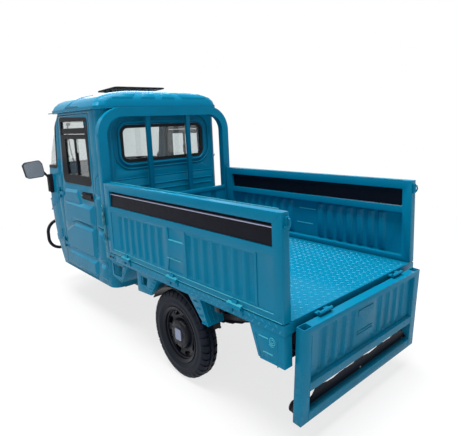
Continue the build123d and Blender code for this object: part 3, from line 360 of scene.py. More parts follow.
    def done(self, name, finish, body="root", **facts):
        settle(self.mesh(name), name, finish, body, **facts)


def worn(finish):
    """The material of a Finish, or of a slot by its name."""
    return finish.material if isinstance(finish, Finish) else FINISHES[finish]


def linked(name, data):
    thing = bpy.data.objects.new(name, data)
    bpy.context.collection.objects.link(thing)
    return thing


def settle(mesh, name, finish, body="root", smooth=32, replaces=(), slot=None):
    """Puts a finished mesh on its body; finish is a slot, or a Finish. The slot argument is not used."""
    mesh.polygons.foreach_set("use_smooth", [True] * len(mesh.polygons))
    mesh.set_sharp_from_angle(angle=math.radians(smooth))
    mesh.materials.clear()
    mesh.materials.append(worn(finish))
    piece = linked(name, mesh)
    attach(piece, body)
    if replaces:
        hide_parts(*replaces)
    slot or finish
    return piece


def softened(node, width, shortest=22.0, angle=24):
    """A CAD node again with its long edges rounded, so that they catch the light."""
    piece = Piece()
    piece.bm.from_mesh(NODES[node].data)
    bmesh.ops.remove_doubles(piece.bm, verts=piece.bm.verts, dist=1e-5)
    bmesh.ops.dissolve_limit(piece.bm, angle_limit=math.radians(1.0), verts=piece.bm.verts,
                             edges=piece.bm.edges)
    piece.bevel(width, 2, angle, shortest)
    piece.done(node + "_skin", WORN_BY[node], BODY_OF[node], replaces=(node,))


AXLE_X = 924.9
RAIL_SIDE = 300.0
softened("chassis_frame", 3.0)
clamps = Piece()
for _ in clamps.both():
    for x in (AXLE_X - 34, AXLE_X + 34):
        for y in (RAIL_SIDE - 38, RAIL_SIDE + 38):
            clamps.rod((x, y, 226), (x, y, 372), 6)
            clamps.rod((x, y, 226), (x, y, 236), 11, 6)
    clamps.box(AXLE_X - 52, AXLE_X + 52, RAIL_SIDE - 46, RAIL_SIDE + 46, 352, 362)
clamps.done("spring_clamps", "black_paint")
conduit = Piece()
conduit.tube([(AXLE_X + 200, 90, 346), (AXLE_X + 240, 150, 420), (1260, 210, 470), (1500, 228, 500),
              (1700, 228, 508)], 11)
conduit.tube([(AXLE_X - 30, 210, 320), (AXLE_X + 60, 225, 380), (1150, 240, 500)], 6)
conduit.done("motor_conduit", "black_paint")


# Wheels. Bias-ply 4.00-12 tyres with wrapped shoulder lugs sit on black pressed-steel rims. Eight
# windows pierce each disc, and a domed cover with a hexagon and a grey cap plate hides the hub.
def copies_group():
    """Sets copies of a piece on points; each point carries its own turn."""
    group = bpy.data.node_groups.new("set_copies", "GeometryNodeTree")
    for name, kind in (("Geometry", "Geometry"), ("Piece", "Object"), ("Finish", "Material")):
        group.interface.new_socket(name=name, in_out="INPUT", socket_type="NodeSocket" + kind)
    group.interface.new_socket(name="Geometry", in_out="OUTPUT", socket_type="NodeSocketGeometry")
    chain = [group.nodes.new(kind) for kind in (
        "NodeGroupInput", "GeometryNodeMeshToPoints", "GeometryNodeInstanceOnPoints",
        "GeometryNodeRealizeInstances", "GeometryNodeSetMaterial", "NodeGroupOutput")]
    for before, after in zip(chain, chain[1:]):
        group.links.new(before.outputs[0], after.inputs[0])
    start, _, copies, _, finish, _ = chain
    info, turn, euler = (group.nodes.new(kind) for kind in (
        "GeometryNodeObjectInfo", "GeometryNodeInputNamedAttribute", "FunctionNodeEulerToRotation"))
    turn.data_type = "FLOAT_VECTOR"
    turn.inputs["Name"].default_value = "turn"
    for source, out, target, into in (
            (start, "Piece", info, "Object"), (info, "Geometry", copies, "Instance"),
            (turn, "Attribute", euler, "Euler"), (euler, "Rotation", copies, "Rotation"),
            (start, "Finish", finish, "Material")):
        group.links.new(source.outputs[out], target.inputs[into])
    return group


COPIES = copies_group()


def evaluated(holder):
    """The mesh that an object's modifiers make; the object itself goes."""
    bpy.context.view_layer.update()
    made = bpy.data.meshes.new_from_object(holder.evaluated_get(bpy.context.evaluated_depsgraph_get()))
    bpy.data.objects.remove(holder)
    return made


def repeated(name, small, places, finish, body="root", **facts):
    """Copies of a centred piece; places are ((x, y, z), (turn about x, y, z in degrees))."""
    one = bpy.data.objects.new(name + "_one", small.mesh("pattern"))
    mesh = bpy.data.meshes.new(name + "_points")
    mesh.from_pydata([spot(*p) for p, _ in places], [], [])
    turn = mesh.attributes.new("turn", "FLOAT_VECTOR", "POINT")
    turn.data.foreach_set("vector", [math.radians(a) for _, angles in places for a in angles])
    holder = linked(name + "_points", mesh)
    modifier = holder.modifiers.new("copies", "NODES")
    modifier.node_group = COPIES
    sockets = {item.name: item.identifier for item in COPIES.interface.items_tree if item.in_out == "INPUT"}
    modifier[sockets["Piece"]] = one
    modifier[sockets["Finish"]] = worn(finish)
    made = evaluated(holder)
    bpy.data.objects.remove(one)
    settle(made, name, finish, body, **facts)


g = Finish("tyre_rubber", Specular_IOR_Level=0.09)
dust = g.noise(9.0, 5.0, 0.65).ramp(0.35, 0.75)
g.colour(dust * 0.5, (0.004, 0.007, 0.014), (0.013, 0.016, 0.026))
g.set("Roughness", dust * 0.12 + 0.46)
g.bump(g.noise(420.0, 3.0, 0.6), 0.0005, 0.4)
dress("tyre_rubber", g)

cap_grey = Finish("cap_plate_grey", Roughness=0.35)
cap_grey.colour(cap_grey.noise(30.0), (0.15, 0.19, 0.31), (0.20, 0.24, 0.36))

TYRE_R = 280.0
TREAD_DEEP = 8.0
LUGS = 36
LUG_HALF = 18.5
BAND_HALF = 11.5        # of the zigzag rib in the middle of the tread
CASING = (             # radius, half width: bead, wall with its fine rings, shoulder and tread base
    (172, 42), (178, 47), (192, 53), (204, 55), (206, 56), (209, 56), (211, 55), (226, 56), (238, 55.6),
    (240, 56), (243, 55.6), (245, 53.5), (254, 49), (262, 43), (269, 34), (272, 20))
LUG_FACE = (           # half width, radius: over the tread, down the shoulder and back inside
    (18, TYRE_R - 1.1), (32, TYRE_R - 2.3), (43, 271), (50, 262), (54.4, 249), (55.2, 243),
    (52, 241), (45, 252), (36, 262), (19, 268))
WINDOWS = 8
DISC = ((86, 20), (103, 12), (116, 16), (120, 17.5), (136, 21), (141, 22), (152, 19), (158, 12))
RIM_SECTIONS = (       # steps round, then radius and depth: rim, black back disc (painted shade seen through the windows), domed cover, inner hub
    (120, ((169.4, -46), (175, -50), (177.5, -50), (178, -48), (174, -45), (171, -38), (160, -30), (158, -10),
           (158, 26), (162, 30), (163, 40), (171, 45), (174, 48), (178, 50), (177, 52), (171, 50), (165, 46),
           (158, 42), (156, 30), (150, 25), (150, -10), (154, -34), (164, -42))),
    # A black disc behind the windows: painted shade, so that they look dark instead of open.
    (48, ((0, -30), (148, -30), (148, -25), (0, -25))),
    (72, ((0, 47), (60, 46.6), (78, 45), (86, 40), (90, 33), (93, 22), (97, 15), (97, 11), (88, 11), (84, 22),
          (80, 34), (60, 38), (0, 38))),
    (48, ((0, -29), (48, -29), (54, -24), (62, 8), (90, 14), (90, 18), (58, 14), (0, -8))))


def tyre(x, y, body, node):
    wall = [(r, -w) for r, w in CASING] + [(r, w) for r, w in reversed(CASING)]
    casing = Piece().turned(x, y, TYRE_R, wall, 120)
    base = TYRE_R - TREAD_DEEP - 1
    rib = [(base, -BAND_HALF), (TYRE_R, -BAND_HALF + 1.5), (TYRE_R, BAND_HALF - 1.5), (base, BAND_HALF)]
    casing.turned(x, y, TYRE_R, rib, LUGS * 6, wobble=lambda k: 2.4 if k % 6 < 3 else -2.4)
    casing.done(body + "_tyre", "tyre_rubber", body, replaces=(node,))
    places = [((x, y, TYRE_R), (0, 360 * (k + side / 2) / LUGS, 180 * side))
              for k in range(LUGS) for side in (0, 1)]
    lug = Piece().plate(LUG_FACE, "x", -LUG_HALF, LUG_HALF).centred().bevel(1.2, 1)
    repeated(body + "_lugs", lug, places, "tyre_rubber", body)


def disc_grid(piece, x, y):
    """Dished disc with its ring of windows, 4 mm thick."""
    steps = WINDOWS * 12
    grid = [piece.verts([(x + r * math.sin(t), y + w, TYRE_R + r * math.cos(t)) for t in turns(steps)])
            for r, w in DISC]
    faces = []
    for ring, (low, high) in enumerate(zip(grid, grid[1:])):
        for k in range(steps):
            open_here = {2: range(3, 8), 3: range(2, 9), 4: range(3, 8)}.get(ring, ())
            if k % 12 not in open_here:
                m = (k + 1) % steps
                faces.append(piece.bm.faces.new((low[k], low[m], high[m], high[k])))
    bmesh.ops.recalc_face_normals(piece.bm, faces=faces)
    bmesh.ops.solidify(piece.bm, geom=faces, thickness=0.004)
    loose = [v for v in piece.bm.verts if not v.link_faces]
    bmesh.ops.delete(piece.bm, geom=loose, context="VERTS")


def wheel(x, y, body, out):
    """Wheel in the plane y, whose outer face looks along out."""
    tyre(x, y, body, body.replace("wheel", "tyre"))
    rim = Piece(out)
    for steps, section in RIM_SECTIONS:
        rim.turned(x, abs(y), TYRE_R, section, steps)
    disc_grid(rim, x, abs(y))
    rim.done(body + "_rim", "black_paint", body, smooth=28, replaces=(body.replace("wheel", "rim"),))
    cover = Piece()
    low, high = sorted((y + out * 45.5, y + out * 49.5))
    hexagon = [(x + 56 * math.sin(t), TYRE_R + 56 * math.cos(t)) for t in turns(12)[1::2]]
    cover.plate(rounded(hexagon, 7), "y", low, high, slope=3.0 * out)
    for t in turns(2 * WINDOWS)[1::2]:
        cx, cz = x + 74 * math.sin(t), TYRE_R + 74 * math.cos(t)
        cover.rod((cx, y + out * 43, cz), (cx, y + out * 47.6, cz), 6.5, 6)
    cover.rod((x, y - out * 29, TYRE_R), (x, y - out * 34, TYRE_R), 36, 24)
    cover.bevel(1.0, 1).done(body + "_hub_cover", "black_paint", body)
    low, high = sorted((y + out * 49.2, y + out * 51.4))
    cap = Piece().plate(rounded(rect(x - 31, x + 31, TYRE_R - 36, TYRE_R + 36), 13), "y", low, high)
    cap.bevel(0.8, 1).done(body + "_cap", cap_grey, body, slot="black_plastic")
    valve = Piece().rod((x + 128, y + out * 24, TYRE_R + 34), (x + 120, y + out * 44, TYRE_R + 32), 4, 10)
    valve.done(body + "_valve", "tyre_rubber", body)


WHEELS = ((AXLE_X, 515.0, "rear_wheel_left", 1), (AXLE_X, -515.0, "rear_wheel_right", -1),
          (2920.0, 0.0, "front_wheel", 1))
for entry in WHEELS:
    wheel(*entry)


# Bed floor. Chequer plate is welded over the bed's frame and folded down into the skirt; its
# lozenges lie across each other at 45 degrees to the sides. A bolted plate closes the front end.
BED_LONG = 1716.0
BED_HALF = 600.0
STEP = 22.5            # between rows of lozenges, in which every other place is filled
softened("bed_floor", 1.6, 18.0)
places = []
half_rows = int(534 / STEP)
for i in range(int(1690 / STEP)):
    turn = 45 if i % 2 == 0 else -45
    for j in range(-half_rows, half_rows + 1):
        if (i + j) % 2 == 0:
            places.append(((18 + i * STEP, j * STEP, 667), (0, 0, turn)))
for sign in (1, -1):
    for i in range(int(1600 / STEP)):
        turn = 45 if i % 2 == 0 else -45
        places.append(((24 + i * STEP, sign * BED_HALF, 622.5 + i % 2 * STEP), (-90 * sign, turn, 0)))
lozenge = Piece()
rim = ((-15, 0), (-6, 4.2), (6, 4.2), (15, 0), (6, -4.2), (-6, -4.2))
lozenge.hull([(a, b, -0.6) for a, b in rim] + [(a * 0.62, b * 0.4, 1.7) for a, b in rim])
# The raised lozenges' lighter, glossier teal is a painted highlight, standing for the light their tops catch.
lozenge_highlight = enamel("trodden_enamel", (0.003, 0.20, 0.34), 0.15, 0.22)
repeated("chequer_lozenges", lozenge.centred(), places, lozenge_highlight, smooth=20, slot="teal_paint")

END_FACE = BED_HALF + 2
ends = Piece()
for _ in ends.both():
    ends.plate(rect(1640, 1718, 612, 656), "y", BED_HALF, END_FACE)
ends.bevel(0.6, 1).done("skirt_end_plates", "teal_paint")
bolt = Piece().rod((0, 0, 0), (0, 0, 1.4), 8.5, 16).rod((0, 0, 1), (0, 0, 6), 6.5, 6).centred()
places = [((x, sign * END_FACE, 634), (-90 * sign, 0, 0)) for sign in (1, -1) for x in (1664, 1702)]
repeated("skirt_bolts", bolt.bevel(0.7, 1), places, "black_paint")


# Brackets under the bed. Pressed and bent plates carry the skirt and guard the wheels; stamped
# dashes stiffen their faces, and the corner boxes hold the round red and dark tail lamps.
softened("bed_brackets", 1.5, 12.0)
softened("corner_brackets", 1.5, 12.0)
BRACKET_FACE = 588.0
STRIPS = (             # upper and lower dash (x, z) of each row, and how many there are
    ((683, 576), (612, 464), 4), ((AXLE_X + 186, 592), (AXLE_X + 276, 488), 5),
    ((BED_LONG - 190, 590), (BED_LONG - 118, 472), 3))
stamped = Piece().hull([(x, y, z) for a, b, z in ((18, 5, -0.5), (15, 1.0, 4.5))
                        for x in (-a, a) for y in (-b, b)])
places = []
for sign in (1, -1):
    for (x0, z0), (x1, z1), count in STRIPS:
        for t in (k / (count - 1) for k in range(count)):
            places.append(((x0 + (x1 - x0) * t, sign * BRACKET_FACE, z0 + (z1 - z0) * t), (-90 * sign, 0, 0)))
repeated("bracket_dashes", stamped.centred(), places, "teal_paint", smooth=20)

stiffeners = Piece()
for _ in stiffeners.both():
    for y in (BRACKET_FACE - offset for offset in (24, 52, 80)):
        stiffeners.rod((AXLE_X - 284, y, 596), (AXLE_X - 344, y, 474), 3.2, 8)
    stiffeners.rod((18, 586, 600), (18, 586, 452), 3, 8)
    stiffeners.hull([(x, y, z + up) for x, z in ((158, 452), (56, 455)) for y, up in (
        (597, 8), (597, -6), (601.5, 0), (601.5, -5))])
    stiffeners.tube([(46, 597.6, z) for z in (588, 440)], 2.6, 6)
    stiffeners.tube([(x, 597.6, z) for x, z in ((192, 570), (155, 446))], 2.6, 6)
    stiffeners.box(1398, 1442, 470, 520, 452, 604)
    stiffeners.rod((1420, 495, 452), (1420, 495, 430), 9, 12)
stiffeners.done("bracket_stiffeners", "teal_paint")

# A lighter teal for emboss ridges, seams, pocket ledges, hinge caps and crease lips: a painted highlight along
# edges that catch the light.
edge_highlight_paint = enamel("thin_enamel_edge", (0.030, 0.36, 0.47), 0.20, 0.3)
embosses = Piece()
for _ in embosses.both():
    for x0, x1, z in ((164, 104, 563), (138, 76, 489)):
        embosses.bar(x0, x1, [(597, z + 4), (597, z - 4), (600, z + 1.5), (600, z - 1.5)])
    for radius, thick in ((18, 2.0), (9, 1.6)):
        embosses.tube([(76 + radius * math.sin(t), 598.6, 558 + radius * math.cos(t)) for t in turns(20)],
                      thick, 6, ring=True)
    embosses.tube([(76 + 27 * math.cos(t), 598.2, 558 + 27 * math.sin(t))
                   for t in (math.radians(250 + 14 * k) for k in range(6))], 2.2, 6)
embosses.done("corner_embosses", edge_highlight_paint, slot="teal_paint")

g = Finish("lamp_red", Roughness=0.18, IOR=1.49)
ribs = (g.z * 900.0).wave()
g.colour(ribs * 0.4, (0.060, 0.004, 0.006), (0.030, 0.002, 0.003))
g.set("Coat Weight", ribs * 0.1 + 0.6)
g.bump(ribs, 0.0006, 0.6)
dress("lamp_red", g)
housings = Piece()
housing = rect(472, 548, 476, 609)
for _ in housings.both():
    housings.plate(rounded(housing, 8), "x", 15, 24, holes=[rounded(inset(housing, 9), 6)])
    housings.rod((24, 510, 520), (6, 510, 520), 12, 20)
housings.bevel(1.0, 1).done("tail_lamp_frames", "black_paint")


# Drop sides. Square tube is mitred round a fluted sheet with two pressed pockets; a dark flat bar
# with a pale lip, and a black bar above it, close the slot below the top rail, and barrel hinges hang
# the board. The lip's pale colour is a painted highlight, and the upper black bar is painted shade
# for the shadowed gap under the rail.
def metal(name, metallic, dark, pale):
    g = Finish(name, Metallic=metallic)
    wear = g.noise(90.0, 3.0, 0.6)
    g.colour(wear, dark, pale)
    g.set("Roughness", wear * 0.2 + 0.25)
    return g


# The lip's pale lilac steel is a painted highlight along its lit edge.
lip_steel = metal("lip_steel", 0.5, (0.30, 0.31, 0.45), (0.42, 0.43, 0.56))
zinc = metal("zinc_plate", 0.9, (0.38, 0.40, 0.42), (0.60, 0.62, 0.64))
strip_black = Finish("strip_black", Specular_IOR_Level=0.10)
strip_black.colour(strip_black.noise(8.0), (0.0015, 0.002, 0.006), (0.004, 0.005, 0.011))
strip_black.set("Roughness", strip_black.noise(40.0) * 0.2 + 0.42)
SIDES = (("left", 1), ("right", -1))
OPENING = (58, 1642)       # between the end posts
HINGE_SHARES = (0.189, 0.517, 0.847)       # of the bed's length
for side, sign in SIDES:
    body = "side_board_" + side
    softened(body, 1.8, 40.0, 30)
    fill = Piece(sign)
    fill.bar(*OPENING, [(588, 1014), (593, 1014), (586, 1098), (580, 1098), (577, 1014), (571, 1098)])
    # This slanted black bar above the lip is painted shade: it fills the gap under the top rail, which lies in
    # shadow.
    fill.bar(*OPENING, [(571, 1097), (577, 1097), (560, 1122), (566, 1122)])
    fill.bevel(0.8, 1)
    fill.done("side_bar_" + side, strip_black, body, slot="black_paint", replaces=("side_strip_" + side,))
    # The lip wears the pale steel: a painted highlight.
    lip = Piece(sign).bar(*OPENING, [(579, 1097), (590, 1098), (590, 1103), (579, 1104)])
    lip.done("side_lip_" + side, lip_steel, body, slot="black_paint")
    seams = Piece(sign)
    for x0, z0, x1, z1 in ((64, 973, 166, 973), (64, 700, 166, 700), (166, 973, 166, 700),
                           (1512, 973, 1638, 973), (1512, 700, 1638, 700)):
        seams.rod((x0, 597, z0), (x1, 597, z1), 2.6, 8)
    seams.rod((2, 599.4, 1174), (57, 599.4, 1124), 1.4, 6)
    for x in (30, 1680):
        for z in (690, 1150):
            seams.rod((x, 599, z), (x, 601.5, z), 4.5, 12)
    seams.done("side_seams_" + side, "teal_paint", body)
    # The seam rods, pocket ledges and hinge caps below wear the lighter teal: painted highlights.
    edges = Piece(sign)
    for x0, x1, y, z, radius in ((60, 1640, 599.4, 699, 2.2), (10, 1706, 600, 667.5, 2.0),
                                 (60, 1706, 551, 1179, 1.8)):
        edges.rod((x0, y, z), (x1, y, z), radius, 8)
    for x0, x1, z in ((752, 906, 900), (780, 932, 788)):
        edges.bar(x0, x1, [(588, z - 2), (600, z - 2), (600, z + 1), (588, z + 7)])
    for middle in (BED_LONG * share for share in HINGE_SHARES):
        edges.bar(middle - 54, middle + 54, [(598, 680), (598, 671), (615, 671), (615, 673)])
    edges.done("side_edges_" + side, edge_highlight_paint, body, slot="teal_paint")
    hook = Piece(sign).box(-13, 4, 560, 582, 1100, 1156)
    hook.tube([(x, 571, z) for x, z in ((-8, 1150), (-22, 1146), (-26, 1128), (-20, 1112))], 4.5, 10)
    hook.bevel(1.0, 1, 40).done("side_hook_" + side, "teal_paint", body)


# Tailgate. It is made like a drop side and hangs from two barrel hinges, shown swung down: its
# posts are open tubes, a soft dark flap is screwed under the slot, and round feet buffer it.
def swing(x, z, degrees):
    """Turn about a line along y."""
    pin = spot(x, 0, z)
    return Matrix.Translation(pin) @ Matrix.Rotation(math.radians(degrees), 4, "Y") @ Matrix.Translation(-pin)


HINGE = (-32.0, 660.0)
SWUNG_DOWN = 176
HANG = swing(*HINGE, SWUNG_DOWN)
GATE_HALF = 482.0
GATE_SHEET = 14.6          # how far the sheet's face stands ahead of the hinge line
softened("tailgate", 2.2, 20.0)


def gate(depth, y, height):
    """Point of the closed gate: depth ahead of the hinge line, height above it."""
    return (HINGE[0] + depth, y, HINGE[1] + height)


relief = Piece()
relief.plate(rounded(rect(-75, 75, HINGE[1] + 86, HINGE[1] + 125), 8), "x", HINGE[0] + GATE_SHEET,
             HINGE[0] + GATE_SHEET + 5, slope=3.5)
for depth, half, height, radius, sides in (
        (GATE_SHEET + 1, 72, 212, 4, 8), (GATE_SHEET + 1, 72, 228, 4, 8), (40, GATE_HALF, 466, 2, 6),
        (40, GATE_HALF, 308, 2, 6), (GATE_SHEET, GATE_HALF - 30, 60, 2.4, 6)):
    relief.rod(gate(depth, -half, height), gate(depth, half, height), radius, sides)
for _ in relief.both():
    relief.rod(gate(40, 484, 60), gate(40, 484, 505), 1.6, 6)
relief.moved(HANG).done("gate_relief", "teal_paint", "tailgate")

random.seed(7)
FLAP_STEPS = 60
rows = []
for k in range(FLAP_STEPS + 1):
    y = -GATE_HALF + 2 * (GATE_HALF - 0.5) * k / FLAP_STEPS + 0.5
    near_end = min(k, FLAP_STEPS - k) / FLAP_STEPS * 2 * GATE_HALF
    sway = 3.0 * math.sin(k * 0.55) + random.uniform(-1.5, 1.5)
    reach = min(448, 377 + sway * 0.9 + max(0.0, 66 - near_end) * 1.15)
    bow = 4 * math.sin(k * 0.31) + sway * 0.4
    rows.append([gate(4, y, 461), gate(10 + bow * 0.3, y, 420 if reach < 420 else reach + 6),
                 gate(21 + bow * 0.6, y, reach)])
flap = Piece()
for low, high in zip(rows, rows[1:]):
    for a in range(2):
        corners = (low[a], low[a + 1], high[a], high[a + 1])
        flap.hull([(x + thick, y, z) for x, y, z in corners for thick in (0, 3)])
bmesh.ops.remove_doubles(flap.bm, verts=flap.bm.verts, dist=1e-6)
flap.bm.verts.index_update()
shared = {}                # the walls between neighbouring shells, which go
for face in flap.bm.faces:
    shared.setdefault(tuple(sorted(v.index for v in face.verts)), []).append(face)
bmesh.ops.delete(flap.bm, geom=[f for group in shared.values() if len(group) > 1 for f in group],
                 context="FACES_ONLY")
flap.moved(HANG).done("gate_flap", strip_black, "tailgate", slot="black_paint", replaces=("tailgate_strip",))
places = []
for y in (-460, 0, 460):
    x, z = (HANG @ spot(*gate(8, y, 452))).xz
    places.append((((x - TAIL) * 1000, y, z * 1000), (0, 90 + SWUNG_DOWN, 0)))
screw = Piece().rod((0, 0, 0), (0, 0, 2.2), 6.5, 14, tip=5.2).centred()
repeated("flap_screws", screw, places, zinc, "tailgate", slot="bare_steel")

g = Finish("seal_rubber", Specular_IOR_Level=0.12)
grain = g.noise(300.0, 2.0, 0.5)
g.colour(grain, (0.006, 0.007, 0.009), (0.012, 0.013, 0.016))
g.set("Roughness", grain * 0.15 + 0.42)
g.bump(grain, 0.0003, 0.4)
dress("black_rubber", g)
buffers = Piece()
for _ in buffers.both():
    for radius, near, far in ((30, -8, -20), (26, -20, -26), (29, -26, -38)):
        buffers.rod(gate(near, 512, 453), gate(far, 512, 453), radius, 32)
buffers.bevel(2.0, 2)
buffers.moved(HANG).done("gate_buffers", "black_rubber", "tailgate", replaces=("tailgate_buffers",))


# Front wall and rack. The bed ends in a fluted wall, and behind the cab stands a rack of bent
# rectangular tube with two upright bars; spring bolts on its feet lock the drop sides.
softened("front_board", 1.8, 20.0)
softened("headache_rack", 4.0, 18.0, 40)
g = Finish("bolt_steel", Metallic=0.35)
brush = g.noise(40.0, 4.0, 0.6)
g.colour(brush.ramp(0.35, 0.65), (0.004, 0.055, 0.10), (0.05, 0.30, 0.36))
g.set("Roughness", brush * 0.2 + 0.25)
dress("bare_steel", g)
RACK_X = 1722.0
BOLT_X = RACK_X + 26
COIL_TURNS = 9
latch = Piece()
for sign in (1, -1):
    y = sign * 609
    latch.tube([(BOLT_X + 11 * math.cos(t), y + 11 * math.sin(t), 868 + 88 * t / (math.tau * COIL_TURNS))
                for t in (math.tau * k / 10 for k in range(10 * COIL_TURNS + 1))], 1.6, 6)
    latch.tube([(BOLT_X, y, 985), (BOLT_X, y, 1000), (BOLT_X - 6, y + sign * 6, 1010),
                (BOLT_X - 26, y + sign * 8, 1012)], 5, 10)
    for k in range(24):
        x, z = BOLT_X - 20 + 3 * math.sin(k * 1.9), 1000 - k * 14
        wide, deep = (0.0, 4.5) if k % 2 else (4.5, 0.0)
        latch.tube([(x + wide * math.cos(t), y + sign * 4 + deep * math.cos(t), z + 8.5 * math.sin(t))
                    for t in turns(10)], 1.3, 5, ring=True)
latch.done("latch_springs", "bare_steel")
guides = Piece()
for _ in guides.both():
    for z in (752, 860, 972):
        guides.hull([(BOLT_X + a, b, c) for c in (z - 2, z + 12) for a, b in (
            (-17, 600), (17, 600), (11, 621), (-11, 621))])
guides.bevel(1.2, 1).done("latch_guides", "teal_paint")
welds = Piece()
for y in (184, -184):
    for z in (1022, 1637):
        welds.tube([(RACK_X + a, y + b, z) for a, b in rect(13, 37, -19, 19)], 2.6, 6, ring=True)
welds.done("rack_welds", "teal_paint")


# Cab shell. The rear wall, sides and nose are pressed panels with beads and creases; the windows
# sit in black rubber channels, and the big curved windscreen wraps to the sides.
REAR = 1815.0
CAB_HALF = 540.0
for panel in ("cab_rear_wall", "cab_side_left", "cab_side_right", "cab_nose"):
    softened(panel, 2.0, 24.0, 32)
g = Finish("window_glass", Roughness=0.02, IOR=1.45, Transmission_Weight=1.0)
g.colour(g.noise(3.0).ramp(0.3, 0.8), (0.75, 0.79, 0.79), (0.70, 0.75, 0.76))
dress("clear_glass", g)


def corner_loop(half, low, high, radius, steps=10):
    """Round-cornered rectangle in y and z."""
    result = []
    for cy, cz, start in ((half - radius, low + radius, -90), (half - radius, high - radius, 0),
                          (radius - half, high - radius, 90), (radius - half, low + radius, 180)):
        for k in range(steps + 1):
            t = math.radians(start + 90 * k / steps)
            result.append((cy + radius * math.cos(t), cz + radius * math.sin(t)))
    return result


def field(piece, foot, face, radius, steps, proud):
    """Raised field of a pressed side panel: outline of its foot in x and z, and of its face."""
    piece.plate(rounded(foot, radius, steps), "y", CAB_HALF - 1, CAB_HALF + proud,
                top=rounded(face, radius, steps))


def ledge(piece, foot, face, proud):
    """Skin over the sloped upper edge of a raised field, from its foot to its face."""
    for (a, b), (c, d) in zip(zip(foot, foot[1:]), zip(face, face[1:])):
        piece.hull([(x, CAB_HALF + out, z + up) for (x, z), out in ((a, 0), (b, 0), (c, proud), (d, proud))
                    for up in (-0.5, 0.8)])


def upper_edge(outline):
    """The first two points of a pad's outline, 6 mm short of its corners."""
    (x0, z0), (x1, z1) = outline[:2]
    return (x0 - 6, z0), (x1 + 6, z1)


# Lighter teal for the upward-facing ledges of the raised fields: painted light, as of sky falling on their upper
# slopes.
ledge_lit_paint = enamel("ledge_enamel", (0.002, 0.230, 0.400), 0.20, 0.15)
PAD_PROUD = 14
SIDE_PADS = (              # foot and face of each raised field behind the door
    (((1994, 1052), (1880, 1058), (1892, 790), (2016, 788)),
     ((1974, 1026), (1922, 1024), (1932, 815), (1998, 813))),
    (((2012, 782), (1890, 778), (1902, 518), (2020, 514)),
     ((1994, 742), (1930, 740), (1940, 542), (2002, 538))),
    (((2020, 508), (1898, 514), (1906, 366), (2020, 366)),
     ((2002, 468), (1940, 466), (1946, 390), (2004, 390))))
beads = Piece()
beads.tube([(REAR + 1, y, z) for y, z in corner_loop(444, 1244, 1647, 134)], 7, 10, ring=True)
beads.tube([(REAR + 6, y, z) for y, z in corner_loop(398, 1276, 1596, 84)], 11, 12, ring=True)
for depth, half, z in ((1, 455, 1170), (12, 440, 1108), (12, 440, 1062)):
    beads.rod((REAR - depth, -half, z), (REAR - depth, half, z), 5, 10)
for _ in beads.both():
    beads.tube([(1888, CAB_HALF - 1.5, z) for z in (1660, 1200, 760, 400)], 3.2, 8)
    beads.tube([(1988, CAB_HALF, 1181), (1885, CAB_HALF, 1245), (1852, CAB_HALF - 3, 1293)], 3.4, 8)
    beads.tube([(x, CAB_HALF, z) for x, z in ((1984, 1181), (2000, 1120), (2002, 1000))], 2.6, 8)
    for foot, face in SIDE_PADS:
        field(beads, foot, face, 6, 3, PAD_PROUD)
beads.done("cab_beads", "teal_paint", smooth=20)
# The side ledges wear the lighter teal: painted light on their upper slopes.
shelves = Piece()
for _ in shelves.both():
    for foot, face in SIDE_PADS:
        ledge(shelves, upper_edge(foot), upper_edge(face), PAD_PROUD)
shelves.done("cab_side_ledges", ledge_lit_paint, slot="teal_paint")
gutter = Piece().rod((REAR - 3, -470, 1701), (REAR - 3, 470, 1701), 3.2, 6)
for _ in gutter.both():
    gutter.tube([(x, CAB_HALF + 2, 1701) for x in (1830, 2300, 2730)], 3.2, 6)
gutter.done("roof_joint_seal", "black_rubber")


# Doors. Each is a flat pressed panel with stepped fields, hung on two outside hinges; a black
# frame carries a fixed top light and two sliding panes, over a flush black paddle handle.
g = Finish("moulded_plastic", Specular_IOR_Level=0.04)
grain = g.noise(700.0, 2.0, 0.5)
g.colour(g.noise(8.0, 3.0, 0.5), (0.008, 0.009, 0.012), (0.016, 0.017, 0.021))
g.set("Roughness", grain * 0.15 + 0.34)
g.bump(grain, 0.0002, 0.5)
dress("black_plastic", g)
DOOR_FIELDS = (             # foot and face of each raised field, and how proud it stands
    (((2642, 1056), (2340, 1064), (2275, 945), (2646, 940)),
     ((2622, 1028), (2360, 1034), (2310, 950), (2634, 950)), 10.0),
    (((2655, 950), (2284, 952), (2048, 960), (2066, 786), (2455, 786), (2668, 706)),
     ((2634, 930), (2300, 926), (2108, 922), (2112, 812), (2500, 812), (2646, 744)), 17.0),
    (((2668, 702), (2455, 782), (2066, 780), (2074, 512), (2686, 520)),
     ((2650, 668), (2480, 742), (2104, 742), (2116, 536), (2660, 544)), 17.0),
    (((2686, 514), (2072, 506), (2084, 372), (2694, 362)),
     ((2662, 476), (2112, 470), (2120, 394), (2672, 386)), 17.0))
DOOR_LEDGES = (             # lower and upper line of each ledge, and how far it reaches out
    (((2630, 1055), (2352, 1063)), ((2614, 1028), (2366, 1033)), 10),
    (((2640, 950), (2284, 952), (2056, 960)), ((2622, 930), (2300, 926), (2114, 922)), 17),
    (((2445, 781), (2072, 780)), ((2472, 742), (2110, 742)), 17),
    (((2676, 513), (2078, 506)), ((2654, 476), (2118, 470)), 17))
FRAME_OUTER = ((2598, 1667), (2036, 1646), (2068, 1112), (2626, 1111))
FRAME_LIGHTS = (
    ((2590, 1632), (2060, 1622), (2066, 1519), (2597, 1522)),
    ((2518, 1484), (2322, 1484), (2322, 1186), (2522, 1186)),
    ((2300, 1484), (2066, 1484), (2082, 1186), (2300, 1186)))
HANDLE_CUP = rounded([(2058, 1002), (2054, 1046), (2276, 1050), (2282, 1004)], 12)
LOCK = (2262, 1027)
